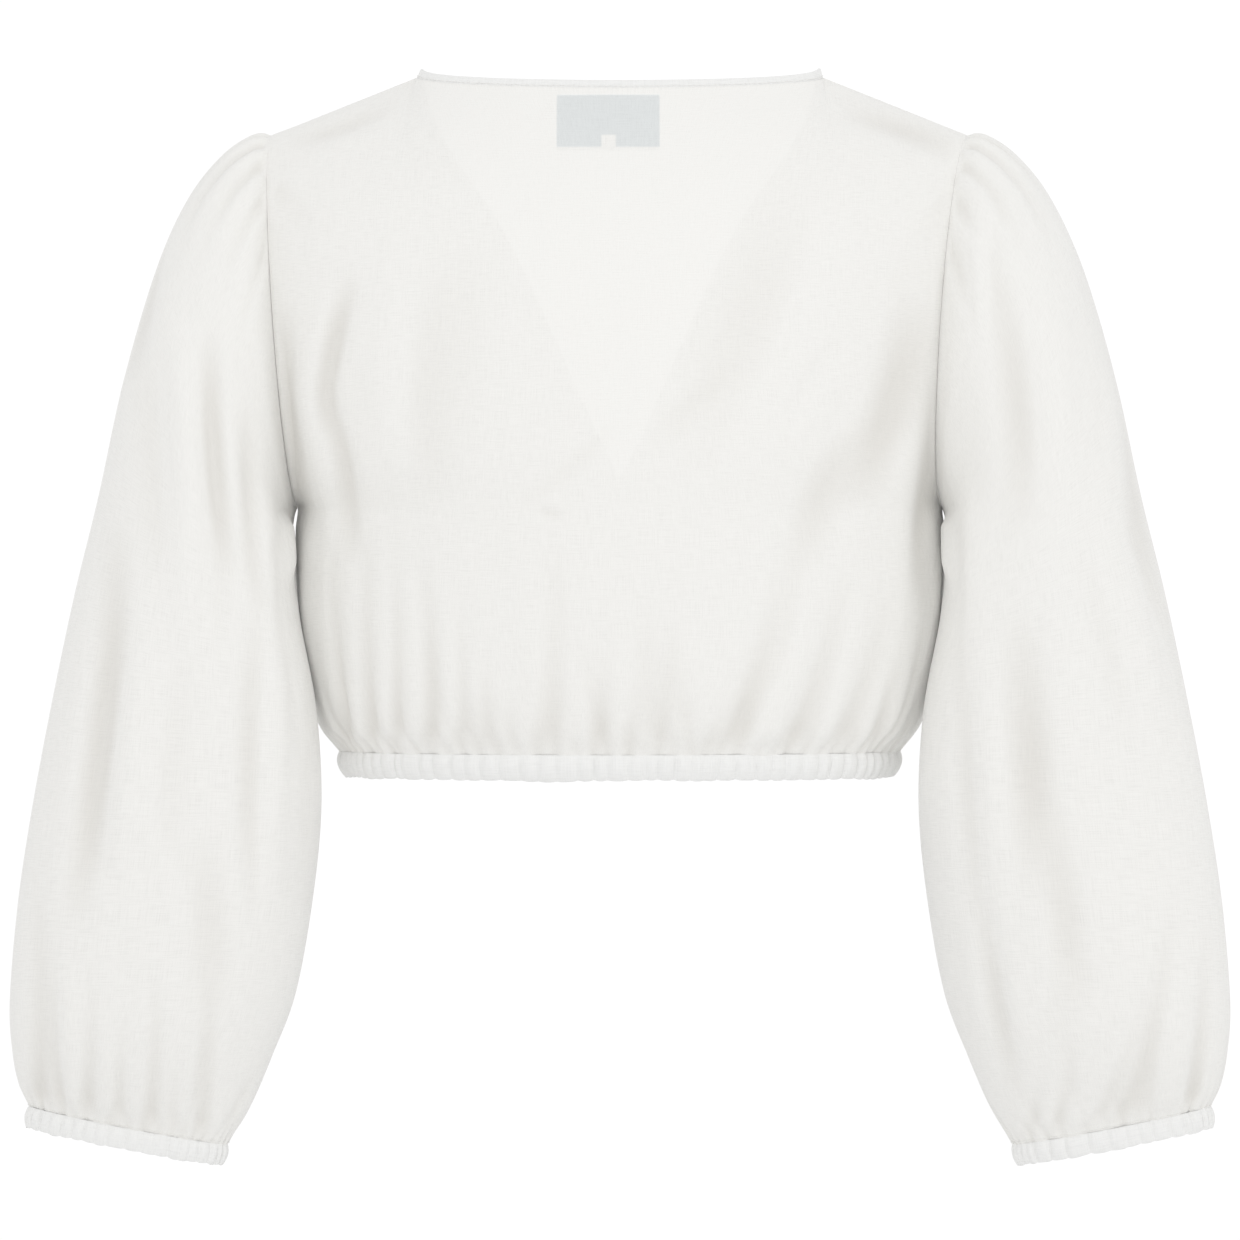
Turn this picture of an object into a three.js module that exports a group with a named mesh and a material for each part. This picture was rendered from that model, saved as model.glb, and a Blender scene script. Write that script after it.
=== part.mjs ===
// A cropped, long-sleeved dirndl blouse, filled out as if worn, in millimetres with +Z up.
// The blouse faces +Y, so its back looks along -Y, and the wearer's left side is at -X.
// The origin is where the wearer's shoulders carry it: on the middle plane, level with the middle
// of the shoulder seams. Every piece is a thin closed wall, lofted through short tables of sections.
import * as THREE from "three";

// Driving sizes
const clothThickness = 1.2;
const seamGap = 0.3;
const backColumns = 48;
const frontColumns = 36;
const sleeveColumns = 48;

const shoulder = { neckX: 113.5, neckY: -5, neckZ: 14.4, tipX: 195, tipY: 0, tipZ: -17.5, neckShare: 0.55 };
const frontNeck = { vShare: 0.43, vCurve: 0.86 };
const armhole = { midZ: -121.5, halfZ: 104, lowX: 181, lowY: 6, backReach: 50, frontReach: 47 };
// How far each armhole seam stands out at mid height, beyond the line from shoulder tip to underarm.
const armholeLean = { backLeft: 4, backRight: -11, frontLeft: -4, frontRight: -7 };

const hem = { height: 14.4, puff: 0.8, depth: 3.4, tuck: 5.5, ruches: 76, ruche: 1.1 };
const cuff = { height: 12, puff: 1.5, depth: 3.2, tuck: 1.5, ruches: 28, ruche: 0.9 };
const binding = { width: 5.6, thickness: 1.8, gap: 0.5 };
const label = { width: 57, height: 31, thickness: 0.9, centreX: -6.5, top: 0.5, hang: 1.6 };
const sizeTab = { width: 8, height: 9, thickness: 0.5, centreX: -6.2, top: -23, off: 0.2 };

const clothMaterial = { color: 0xf3f2ec, roughness: 0.9, metalness: 0 };
const labelMaterial = { color: 0xb9c0c0, roughness: 0.8, metalness: 0 };
const tabMaterial = { color: 0xe8e8e4, roughness: 0.8, metalness: 0 };

// Sections of the body from the hem up to the shoulders: the height at the centre and how far the
// centre lies behind or in front of the middle plane, for the back and for the front. Up to the
// underarm a row ends at the side seam (half, seamY), and above it at an angle of the armhole.
// top is how far the row has taken the form of the neck and shoulder edge.
const underarmRow = 4;
const bodySections = [
  { backZ: -362.7, back: 88, frontZ: -362.7, front: 112, half: 158, seamY: 14, angle: 180, turn: 90, top: 0 },
  { backZ: -347, back: 97, frontZ: -347, front: 121, half: 170, seamY: 14, angle: 180, turn: 90, top: 0 },
  { backZ: -322, back: 104, frontZ: -322, front: 130, half: 177, seamY: 13, angle: 180, turn: 90, top: 0 },
  { backZ: -280, back: 109, frontZ: -280, front: 138, half: 181.5, seamY: 10, angle: 180, turn: 90, top: 0 },
  { backZ: -232, back: 113, frontZ: -232, front: 140, half: 181, seamY: 6, angle: 180, turn: 86, top: 0 },
  { backZ: -195, back: 115, frontZ: -195, front: 136, half: 181, seamY: 6, angle: 142, turn: 80, top: 0 },
  { backZ: -152, back: 113, frontZ: -152, front: 124, half: 181, seamY: 6, angle: 112, turn: 72, top: 0 },
  { backZ: -105, back: 106, frontZ: -105, front: 106, half: 181, seamY: 6, angle: 82, turn: 66, top: 0 },
  { backZ: -62, back: 94, frontZ: -62, front: 86, half: 181, seamY: 6, angle: 54, turn: 62, top: 0 },
  { backZ: -26, back: 76, frontZ: -28, front: 66, half: 181, seamY: 6, angle: 28, turn: 60, top: 0.35 },
  { backZ: 4, back: 55.5, frontZ: 0, front: 46, half: 181, seamY: 6, angle: 0, turn: 58, top: 1 },
];
// The rows of the panels between those sections, one on every half section along the armhole.
const sideRows = [0, 0.25, 0.6, 1, 1.5, 2, 3];
const armholeRows = [4, 4.5, 5, 5.5, 6, 6.5, 7, 7.5, 8, 8.5, 9, 9.5, 10];

// Sections of a sleeve below its armhole: the outer and inner points of each ring, seen from behind,
// the ring's middle along Y, how far it reaches to the back and to the front, and how much of the
// armhole's lean it keeps.
const sleeveSections = [
  { outX: 205.5, outZ: -18.5, inX: 182.5, inZ: -230, midY: -2, back: 57, front: 51, lean: 0.9 },
  { outX: 221.5, outZ: -29, inX: 183.7, inZ: -234, midY: -4, back: 61, front: 54, lean: 0.8 },
  { outX: 238, outZ: -49, inX: 184.5, inZ: -239, midY: -7, back: 62, front: 55, lean: 0.65 },
  { outX: 253, outZ: -79, inX: 183.5, inZ: -245, midY: -11, back: 61, front: 55, lean: 0.5 },
  { outX: 265, outZ: -114, inX: 182.5, inZ: -252, midY: -15, back: 60, front: 54, lean: 0.35 },
  { outX: 277.5, outZ: -162, inX: 181.5, inZ: -263, midY: -20, back: 58, front: 53, lean: 0.2 },
  { outX: 289.5, outZ: -220, inX: 178, inZ: -281, midY: -25, back: 56, front: 51, lean: 0.1 },
  { outX: 302.5, outZ: -275, inX: 173.5, inZ: -307, midY: -29, back: 54, front: 49, lean: 0 },
  { outX: 314.5, outZ: -333, inX: 167.5, inZ: -346, midY: -32, back: 52, front: 48, lean: 0 },
  { outX: 325.5, outZ: -392, inX: 165.5, inZ: -393, midY: -33, back: 52, front: 48, lean: 0 },
  { outX: 333.5, outZ: -446, inX: 170, inZ: -442, midY: -34, back: 51, front: 47, lean: 0 },
  { outX: 338, outZ: -500, inX: 179.5, inZ: -495, midY: -34, back: 47, front: 44, lean: 0 },
  { outX: 336.5, outZ: -528, inX: 192.5, inZ: -530, midY: -34, back: 40, front: 38, lean: 0 },
  { outX: 333, outZ: -546, inX: 204.5, inZ: -558, midY: -34, back: 30, front: 29, lean: 0 },
  { outX: 327.5, outZ: -558, inX: 217, inZ: -579.5, midY: -34, back: 21, front: 21, lean: 0 },
];
const sleeveRows = [0, 0.5, 1.2, 2.1, 3.1, 4.2, 5.4, 6.7, 8, 9.3, 10.6, 11.8, 12.8, 13.6, 14.3, 15];

// Soft creases. On the body, x is the place across and z the height, from where a crease starts to
// where it ends. A rooted crease is deepest at its start, and the others fade at both ends.
const backCreases = [
  { x0: -147, z0: -362, x1: -150, z1: -275, bow: -2, width: 4.5, depth: -1.6, rooted: true },
  { x0: -134, z0: -362, x1: -131, z1: -215, bow: -5, width: 6, depth: -2.8, rooted: true },
  { x0: -111, z0: -362, x1: -107, z1: -225, bow: 2, width: 6, depth: -3.2, rooted: true },
  { x0: -70, z0: -362, x1: -74, z1: -255, bow: 2, width: 6, depth: -2.4, rooted: true },
  { x0: -38, z0: -362, x1: -42, z1: -225, bow: 2, width: 8, depth: -1.6, rooted: true },
  { x0: -9, z0: -362, x1: -7, z1: -270, bow: 0, width: 6, depth: -1.8, rooted: true },
  { x0: 24, z0: -362, x1: 20, z1: -285, bow: 2, width: 6, depth: -1.5, rooted: true },
  { x0: 50, z0: -362, x1: 92, z1: -215, bow: 6, width: 10, depth: -3, rooted: true },
  { x0: 98, z0: -362, x1: 116, z1: -265, bow: 2, width: 6, depth: -2, rooted: true },
  { x0: 118, z0: -362, x1: 134, z1: -250, bow: 3, width: 7, depth: -2.4, rooted: true },
  { x0: 140, z0: -362, x1: 158, z1: -225, bow: 3, width: 6, depth: -2.2, rooted: true },
  { x0: -158, z0: -90, x1: -152, z1: -250, bow: 12, width: 12, depth: -4.5 },
  { x0: -178, z0: -100, x1: -165, z1: -240, bow: 4, width: 7, depth: -2.5 },
  { x0: 152, z0: -100, x1: 140, z1: -240, bow: 2, width: 16, depth: -3.5 },
  { x0: 120, z0: -30, x1: 66, z1: -215, bow: -4, width: 22, depth: -1.8 },
];
const frontCreases = [
  { x0: -150, z0: -362, x1: -156, z1: -255, bow: 2, width: 7, depth: -2.2, rooted: true },
  { x0: -118, z0: -362, x1: -112, z1: -230, bow: -3, width: 7, depth: -3, rooted: true },
  { x0: -84, z0: -362, x1: -76, z1: -245, bow: 2, width: 8, depth: -2.4, rooted: true },
  { x0: -46, z0: -362, x1: -40, z1: -270, bow: 2, width: 7, depth: -1.9, rooted: true },
  { x0: -12, z0: -362, x1: -8, z1: -260, bow: -1, width: 7, depth: -1.7, rooted: true },
  { x0: 27, z0: -362, x1: 30, z1: -275, bow: 2, width: 8, depth: -2, rooted: true },
  { x0: 63, z0: -362, x1: 58, z1: -240, bow: 2, width: 7, depth: -2.6, rooted: true },
  { x0: 96, z0: -362, x1: 100, z1: -250, bow: -2, width: 8, depth: -2.8, rooted: true },
  { x0: 134, z0: -362, x1: 146, z1: -235, bow: 2, width: 7, depth: -2.4, rooted: true },
  { x0: -150, z0: -80, x1: -120, z1: -235, bow: 6, width: 11, depth: -2.6 },
  { x0: 150, z0: -85, x1: 118, z1: -240, bow: -7, width: 12, depth: -2.8 },
];
// On a sleeve, turn is the angle round from the outer side by way of the back, and share the place
// from the armhole (0) to the cuff (1).
const leftSleeveCreases = [
  { turn0: 38, share0: 1, turn1: 40, share1: 0.62, bow: 3, width: 7, depth: -4.6, rooted: true },
  { turn0: 52, share0: 1, turn1: 51, share1: 0.74, bow: 0, width: 5, depth: -2.6, rooted: true },
  { turn0: 74, share0: 1, turn1: 72, share1: 0.8, bow: 0, width: 6, depth: -1.8, rooted: true },
  { turn0: 104, share0: 1, turn1: 98, share1: 0.78, bow: 2, width: 7, depth: -2.6, rooted: true },
  { turn0: 128, share0: 1, turn1: 118, share1: 0.76, bow: 3, width: 8, depth: -2.4, rooted: true },
  { turn0: 150, share0: 0.92, turn1: 112, share1: 0.42, bow: 6, width: 10, depth: -3.2 },
  { turn0: 60, share0: 0.08, turn1: 48, share1: 0.5, bow: -4, width: 15, depth: -3.6 },
  { turn0: 96, share0: 0.1, turn1: 118, share1: 0.52, bow: 6, width: 12, depth: -3.4 },
  { turn0: 214, share0: 1, turn1: 222, share1: 0.66, bow: 3, width: 8, depth: -3, rooted: true },
  { turn0: 262, share0: 1, turn1: 254, share1: 0.6, bow: -3, width: 9, depth: -3.4, rooted: true },
  { turn0: 308, share0: 1, turn1: 302, share1: 0.68, bow: 2, width: 8, depth: -3.2, rooted: true },
  { turn0: 300, share0: 0.1, turn1: 290, share1: 0.5, bow: 5, width: 14, depth: -3.2 },
  { turn0: 245, share0: 0.16, turn1: 236, share1: 0.56, bow: -4, width: 12, depth: -2.8 },
];
const rightSleeveCreases = [
  { turn0: 42, share0: 1, turn1: 60, share1: 0.6, bow: 5, width: 9, depth: -3.2, rooted: true },
  { turn0: 60, share0: 1, turn1: 66, share1: 0.78, bow: 0, width: 5, depth: -2.2, rooted: true },
  { turn0: 84, share0: 1, turn1: 86, share1: 0.8, bow: 0, width: 6, depth: -2.6, rooted: true },
  { turn0: 112, share0: 1, turn1: 106, share1: 0.84, bow: 0, width: 6, depth: -1.8, rooted: true },
  { turn0: 134, share0: 1, turn1: 128, share1: 0.8, bow: 2, width: 7, depth: -2.2, rooted: true },
  { turn0: 128, share0: 0.95, turn1: 118, share1: 0.4, bow: 4, width: 10, depth: -3.4 },
  { turn0: 102, share0: 0.9, turn1: 84, share1: 0.44, bow: 3, width: 11, depth: -2.4 },
  { turn0: 30, share0: 0.12, turn1: 34, share1: 0.46, bow: 5, width: 13, depth: -3.6 },
  { turn0: 84, share0: 0.1, turn1: 104, share1: 0.5, bow: 4, width: 14, depth: -2.6 },
  { turn0: 220, share0: 1, turn1: 212, share1: 0.64, bow: -3, width: 8, depth: -3, rooted: true },
  { turn0: 268, share0: 1, turn1: 274, share1: 0.58, bow: 3, width: 9, depth: -3.2, rooted: true },
  { turn0: 312, share0: 1, turn1: 306, share1: 0.7, bow: 2, width: 8, depth: -2.8, rooted: true },
  { turn0: 296, share0: 0.1, turn1: 306, share1: 0.52, bow: 5, width: 13, depth: -3.2 },
  { turn0: 240, share0: 0.14, turn1: 250, share1: 0.54, bow: -4, width: 12, depth: -2.8 },
];
// Gathers: how deep the small folds are at the elastic or at the sleeve head, and how far they run.
const hemGather = { depth: 1.7, reach: 30 };
const cuffGather = { folds: 8, depth: 1.7, reach: 0.09 };
const capGather = { folds: 5, depth: 1.6, spread: 80, reach: 0.16 };

const vec = (x, y, z) => new THREE.Vector3(x, y, z);
const radians = THREE.MathUtils.degToRad;
const mix = THREE.MathUtils.lerp;
const smooth = THREE.MathUtils.smoothstep;
const count = (n, make) => Array.from({ length: n }, (_, i) => make(i));

// One column of a table at row t, on a smooth curve through its rows.
function column(table, name, t) {
  const last = table.length - 1;
  const i = Math.min(Math.floor(t), last - 1);
  const f = t - i;
  const at = (k) => {
    if (k < 0) return 2 * table[0][name] - table[1][name];
    if (k > last) return 2 * table[last][name] - table[last - 1][name];
    return table[k][name];
  };
  const [a, b, c, d] = [at(i - 1), at(i), at(i + 1), at(i + 2)];
  return b + (f / 2) * (c - a + f * (2 * a - 5 * b + 4 * c - d + f * (3 * (b - c) + d - a)));
}

function sectionAt(table, t) {
  return Object.fromEntries(Object.keys(table[0]).map((name) => [name, column(table, name, t)]));
}

// How far the creases of a table move the cloth, at a place across and along.
function creaseDepth(table, across, along, names) {
  const [acrossFrom, alongFrom, acrossTo, alongTo] = names;
  let total = 0;
  for (const crease of table) {
    const q = (along - crease[alongFrom]) / (crease[alongTo] - crease[alongFrom]);
    if (q < -0.1 || q > 1) continue;
    const r = Math.max(q, 0);
    const middle = mix(crease[acrossFrom], crease[acrossTo], r) + crease.bow * Math.sin(Math.PI * r);
    const fade = crease.rooted ? (1 - r) ** 2 * (1 + 2 * r) : Math.sin(Math.PI * r) ** 1.2;
    total += crease.depth * fade * Math.exp(-(((across - middle) / crease.width) ** 2));
  }
  return total;
}

// The lean of an armhole: face is -1 at the back and 1 at the front, side -1 left and 1 right.
function leanOf(face, side) {
  if (face < 0) return side < 0 ? armholeLean.backLeft : armholeLean.backRight;
  return side < 0 ? armholeLean.frontLeft : armholeLean.frontRight;
}

// A point of the armhole seam: angle 0 at the shoulder tip, 180 at the underarm.
function armholePoint(angle, face, side) {
  const c = Math.cos(radians(angle));
  const s = Math.sin(radians(angle));
  const reach = face < 0 ? armhole.backReach : armhole.frontReach;
  const down = (1 - c) / 2;
  return vec(
    side * (mix(shoulder.tipX, armhole.lowX, down) + leanOf(face, side) * s),
    mix(shoulder.tipY, armhole.lowY, down) + face * reach * s,
    armhole.midZ + armhole.halfZ * c,
  );
}

// The upper edge of a panel: half the neck, then the shoulder seam.
function topEdge(w, face, side) {
  const top = bodySections[bodySections.length - 1];
  const [level, deep] = face < 0 ? [top.backZ, top.back] : [top.frontZ, top.front];
  if (w <= shoulder.neckShare) {
    const q = ((w / shoulder.neckShare) * Math.PI) / 2;
    const x = side * shoulder.neckX * Math.sin(q);
    return vec(x, mix(shoulder.neckY, face * deep, Math.cos(q)), mix(level, shoulder.neckZ, 1 - Math.cos(q)));
  }
  const r = (w - shoulder.neckShare) / (1 - shoulder.neckShare);
  return vec(
    side * mix(shoulder.neckX, shoulder.tipX, r),
    mix(shoulder.neckY, shoulder.tipY, r),
    mix(shoulder.neckZ, shoulder.tipZ, r),
  );
}

// The round form of a section, w from its centre (0) to its end (1).
function roundPoint(section, end, w, face, side) {
  const turn = radians(section.turn);
  const [level, deep] = face < 0 ? [section.backZ, section.back] : [section.frontZ, section.front];
  const part = (1 - Math.cos(turn * w)) / (1 - Math.cos(turn));
  const x = (end.x * Math.sin(turn * w)) / Math.sin(turn);
  return vec(x, mix(face * deep, end.y, part), mix(level, end.z, w * w));
}

// A point of the body before its folds: u from the left end (-1) to the right end (1), t a row.
function bodyPoint(face, u, t) {
  const side = u < 0 ? -1 : 1;
  const w = Math.abs(u);
  const section = sectionAt(bodySections, t);
  const end =
    t <= underarmRow
      ? vec(side * section.half, section.seamY, face < 0 ? section.backZ : section.frontZ)
      : armholePoint(section.angle, face, side);
  if (t === underarmRow) end.copy(armholePoint(180, face, side));
  if (t < underarmRow) end.z += column(dropRows, "drop", Math.max(t - underarmRow + 2, 0));
  const point = roundPoint(section, end, w, face, side);
  if (section.top <= 0) return point;
  const last = bodySections[bodySections.length - 1];
  const plain = roundPoint(last, armholePoint(0, face, side), w, face, side);
  return point.addScaledVector(topEdge(w, face, side).sub(plain), section.top);
}
// The side seam's top end lies this much above the level of its row, and less in the rows below.
const dropRows = [{ drop: 0 }, { drop: 1.5 }, { drop: 6 }];

// The unit normal of a grid's point, from its neighbours.
function gridNormal(rows, j, i, wraps) {
  const n = rows[0].length;
  const left = wraps ? (i + n - 1) % n : Math.max(i - 1, 0);
  const right = wraps ? (i + 1) % n : Math.min(i + 1, n - 1);
  const across = rows[j][right].clone().sub(rows[j][left]);
  const up = rows[Math.min(j + 1, rows.length - 1)][i].clone().sub(rows[Math.max(j - 1, 0)][i]);
  return across.cross(up).normalize();
}

// A closed wall between an outer and an inner grid of points.
function wallGeometry(outer, inner, wraps) {
  const rows = outer.length;
  const columns = outer[0].length;
  const at = (layer, j, i) => layer * rows * columns + j * columns + (i % columns);
  const triangles = [];
  const quad = (a, b, c, d) => triangles.push(a, b, c, a, c, d);
  const spans = wraps ? columns : columns - 1;
  for (let j = 0; j < rows - 1; j++)
    for (let i = 0; i < spans; i++) {
      quad(at(0, j, i), at(0, j, i + 1), at(0, j + 1, i + 1), at(0, j + 1, i));
      quad(at(1, j, i), at(1, j + 1, i), at(1, j + 1, i + 1), at(1, j, i + 1));
    }
  for (let i = 0; i < spans; i++) {
    quad(at(0, 0, i), at(1, 0, i), at(1, 0, i + 1), at(0, 0, i + 1));
    quad(at(0, rows - 1, i), at(0, rows - 1, i + 1), at(1, rows - 1, i + 1), at(1, rows - 1, i));
  }
  for (let j = 0; j < rows - 1 && !wraps; j++) {
    quad(at(0, j, 0), at(0, j + 1, 0), at(1, j + 1, 0), at(1, j, 0));
    quad(at(0, j, spans), at(1, j, spans), at(1, j + 1, spans), at(0, j + 1, spans));
  }
  return facingOut([...outer.flat(), ...inner.flat()], triangles);
}

// A closed ring whose cross-section is a loop of points.
function ringGeometry(loops) {
  const points = loops[0].length;
  const triangles = [];
  for (let j = 0; j < loops.length; j++)
    for (let i = 0; i < points; i++) {
      const next = ((j + 1) % loops.length) * points;
      const [a, b, c, d] = [j * points + i, j * points + ((i + 1) % points), next + ((i + 1) % points), next + i];
      triangles.push(a, b, c, a, c, d);
    }
  return facingOut(loops.flat(), triangles);
}

// The geometry of a closed body, its triangles turned so that they face out.
function facingOut(points, triangles) {
  let volume = 0;
  for (let k = 0; k < triangles.length; k += 3) {
    const [a, b, c] = [points[triangles[k]], points[triangles[k + 1]], points[triangles[k + 2]]];
    volume += a.dot(b.clone().cross(c));
  }
  if (volume < 0) triangles.reverse();
  const geometry = new THREE.BufferGeometry();
  const positions = points.flatMap((p) => [p.x, p.y, p.z]);
  geometry.setAttribute("position", new THREE.Float32BufferAttribute(positions, 3));
  geometry.setIndex(triangles);
  geometry.computeVertexNormals();
  return geometry;
}

function piece(name, geometry, material) {
  const mesh = new THREE.Mesh(geometry, new THREE.MeshStandardMaterial(material));
  mesh.name = name;
  return mesh;
}

// Columns spread evenly over a panel, with one on each neck point.
function columnShare(i, columns) {
  const u = (2 * i) / columns - 1;
  const off = Math.abs(Math.abs(u) - shoulder.neckShare);
  return off < 1 / columns ? Math.sign(u) * shoulder.neckShare : u;
}

// The row of a panel at its upper edge: the last at the shoulders, lower in a V neck.
function upperRow(face, w) {
  const last = bodySections.length - 1;
  if (face < 0 || w >= shoulder.neckShare) return last;
  return last * mix(frontNeck.vShare, 1, (w / shoulder.neckShare) ** frontNeck.vCurve);
}

// The outer points of the back (face -1) or the front (face 1) without folds, and their normals.
function plainPanel(face) {
  const columns = face < 0 ? backColumns : frontColumns;
  const last = bodySections.length - 1;
  const rows = [...sideRows, ...armholeRows];
  const across = count(columns + 1, (i) => columnShare(i, columns));
  const points = rows.map((t) =>
    across.map((u) => bodyPoint(face, u, (t * upperRow(face, Math.abs(u))) / last)),
  );
  const normals = points.map((row, j) =>
    row.map((_, i) => {
      const side = Math.sign(across[i]);
      const n = gridNormal(points, j, i, false).multiplyScalar(-face);
      if (j === rows.length - 1 && Math.abs(across[i]) >= shoulder.neckShare) return shoulderNormal(side);
      if (i === 0 || i === columns) {
        if (rows[j] <= underarmRow) return vec(side, 0, 0);
        n.x = side * Math.max(side * n.x, 0);
      }
      if (j === 0) n.z = 0;
      return n.normalize();
    }),
  );
  return { points, normals, across, rows };
}

// The direction in which the wall is thick at the shoulder seam.
function shoulderNormal(side) {
  const run = vec(shoulder.tipX - shoulder.neckX, 0, shoulder.tipZ - shoulder.neckZ).normalize();
  return vec(-run.z * side, 0, run.x);
}

// A panel with its creases and gathers. Its ends stop short of the seams by half a gap.
function panel(name, face) {
  const creases = face < 0 ? backCreases : frontCreases;
  const { points, normals, across, rows } = plainPanel(face);
  const last = rows.length - 1;
  const outer = points.map((row, j) =>
    row.map((p, i) => {
      const fade = smooth(1 - Math.abs(across[i]), 0, 0.06) * smooth(1 - rows[j] / rows[last], 0, 0.08);
      const creased = creaseDepth(creases, p.x, p.z, ["x0", "z0", "x1", "z1"]);
      const rise = (p.z - bodySections[0].backZ) / hemGather.reach;
      const gather = (i % 2 ? -1 : 1) * hemGather.depth * Math.exp(-rise * rise);
      const moved = p.clone().addScaledVector(normals[j][i], (creased + gather) * fade);
      const onSide = i === 0 || i === across.length - 1;
      if (j === last && Math.abs(across[i]) >= shoulder.neckShare) moved.y += (face * seamGap) / 2;
      if (onSide && rows[j] <= underarmRow) moved.y += (face * seamGap) / 2;
      if (onSide && rows[j] >= underarmRow) moved.x -= (Math.sign(across[i]) * seamGap) / 2;
      return moved;
    }),
  );
  return piece(name, wallGeometry(outer, thickened(outer, normals), false), clothMaterial);
}

const thickened = (outer, normals) =>
  outer.map((row, j) => row.map((p, i) => p.clone().addScaledVector(normals[j][i], -clothThickness)));

// The armhole angles at which the panels' rows end, from the shoulder tip down.
const seamAngles = armholeRows.map((t) => column(bodySections, "angle", t)).reverse();

// The angle of a sleeve's column: as the armhole's rows at the head, evenly spread from half way.
function sleeveAngle(i, row) {
  const half = sleeveColumns / 2;
  const k = (i <= half ? i : sleeveColumns - i) / 2;
  const low = Math.min(Math.floor(k), seamAngles.length - 2);
  const atSeam = mix(seamAngles[low], seamAngles[low + 1], k - low);
  const even = (180 * (2 * k)) / half;
  const angle = mix(atSeam, even, Math.min(row / 7, 1));
  return i <= half ? angle : 360 - angle;
}

// Where a sleeve's column starts on the armhole. The seam is straight between the panels' rows.
function seamPoint(i, side) {
  const half = sleeveColumns / 2;
  const [face, k] = i <= half ? [-1, i / 2] : [1, (sleeveColumns - i) / 2];
  const low = Math.min(Math.floor(k), seamAngles.length - 2);
  const from = armholePoint(seamAngles[low], face, side);
  return from.lerp(armholePoint(seamAngles[low + 1], face, side), k - low);
}

// A point of a sleeve before its folds, on column i, row from the armhole (0) to the cuff (last).
function sleevePoint(i, side, row) {
  const seam = seamPoint(i, side);
  const table = sleeveSections.map((ring, k) => {
    const angle = radians(sleeveAngle(i, k + 1));
    const [c, s] = [Math.cos(angle), Math.sin(angle)];
    const x = mix(ring.inX, ring.outX, (1 + c) / 2) + ring.lean * Math.abs(s) * leanOf(s < 0 ? 1 : -1, side);
    return { x: side * x, y: ring.midY - s * (s < 0 ? ring.front : ring.back), z: mix(ring.inZ, ring.outZ, (1 + c) / 2) };
  });
  const path = [{ x: seam.x, y: seam.y, z: seam.z }, ...table];
  return vec(column(path, "x", row), column(path, "y", row), column(path, "z", row));
}

// The direction across a cuff, and the way the cuff hangs from its sleeve.
function cuffAxes(side) {
  const last = sleeveSections[sleeveSections.length - 1];
  const across = vec(side * (last.outX - last.inX), 0, last.outZ - last.inZ).normalize();
  return { across, down: vec(side * across.z, 0, -Math.abs(across.x)).normalize() };
}

// How far a sleeve's creases and gathers move its cloth.
function sleeveFold(side, i, row) {
  const share = row / sleeveSections.length;
  const turn = sleeveAngle(i, row);
  const creases = side < 0 ? leftSleeveCreases : rightSleeveCreases;
  const creased = creaseDepth(creases, turn, share, ["turn0", "share0", "turn1", "share1"]);
  const nearCuff = Math.exp(-(((1 - share) / cuffGather.reach) ** 2));
  const atCuff = cuffGather.depth * nearCuff * Math.cos((2 * Math.PI * cuffGather.folds * i) / sleeveColumns);
  const fromTop = Math.min(turn, 360 - turn) / capGather.spread;
  const nearCap = Math.exp(-((share / capGather.reach) ** 2) - fromTop ** 4);
  const atCap = capGather.depth * nearCap * Math.cos(fromTop * capGather.folds * Math.PI);
  return creased * smooth(share, 0, 0.06) * (1 - nearCuff) + atCuff + atCap * smooth(share, 0, 0.04);
}

function sleeve(name, side) {
  const plain = sleeveRows.map((row) => count(sleeveColumns, (i) => sleevePoint(i, side, row)));
  const { down } = cuffAxes(side);
  const last = sleeveRows.length - 1;
  const normals = plain.map((row, j) =>
    row.map((_, i) => {
      const n = gridNormal(plain, j, i, true).multiplyScalar(side);
      if (j === 0) n.x = side * Math.min(side * n.x, 0);
      if (j === last) n.addScaledVector(down, -n.dot(down));
      return n.normalize();
    }),
  );
  const outer = plain.map((row, j) =>
    row.map((p, i) => {
      const moved = p.clone().addScaledVector(normals[j][i], sleeveFold(side, i, sleeveRows[j]));
      if (j === 0) moved.x += (side * seamGap) / 2;
      return moved;
    }),
  );
  return piece(name, wallGeometry(outer, thickened(outer, normals), true), clothMaterial);
}

// A ruched elastic casing under a ring of points: sizes is hem or cuff, down the way it hangs.
function casing(name, ring, sizes, down) {
  const steps = 2 * sizes.ruches;
  const points = count(steps, (i) => ring(i / steps));
  const loops = points.map((p, i) => {
    const along = points[(i + 1) % steps].clone().sub(points[(i + steps - 1) % steps]);
    const out = along.cross(down).normalize();
    const wave = (i % 2 ? -1 : 1) * sizes.ruche;
    const profile = [
      { out: 0.4 + wave / 2, fall: 0 },
      { out: sizes.puff + wave, fall: sizes.height * 0.35 },
      { out: -sizes.tuck - wave / 2, fall: sizes.height },
      { out: -sizes.tuck - sizes.depth * 0.7, fall: sizes.height * 0.8 },
      { out: -sizes.depth * 0.8, fall: 0 },
    ];
    return profile.map((q) => p.clone().addScaledVector(out, q.out).addScaledVector(down, q.fall + seamGap));
  });
  return piece(name, ringGeometry(loops), clothMaterial);
}

// The closed line round the hem: the back from left to right, then the front.
function hemRing(q) {
  return q < 0.5 ? bodyPoint(-1, 4 * q - 1, 0) : bodyPoint(1, 3 - 4 * q, 0);
}

// The closed line round a cuff, turning so that the casing's outside faces out.
function cuffRing(side) {
  const last = sleeveSections.length;
  return (q) => sleevePoint(sleeveColumns * (side < 0 ? q : 1 - q), side, last);
}

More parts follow.
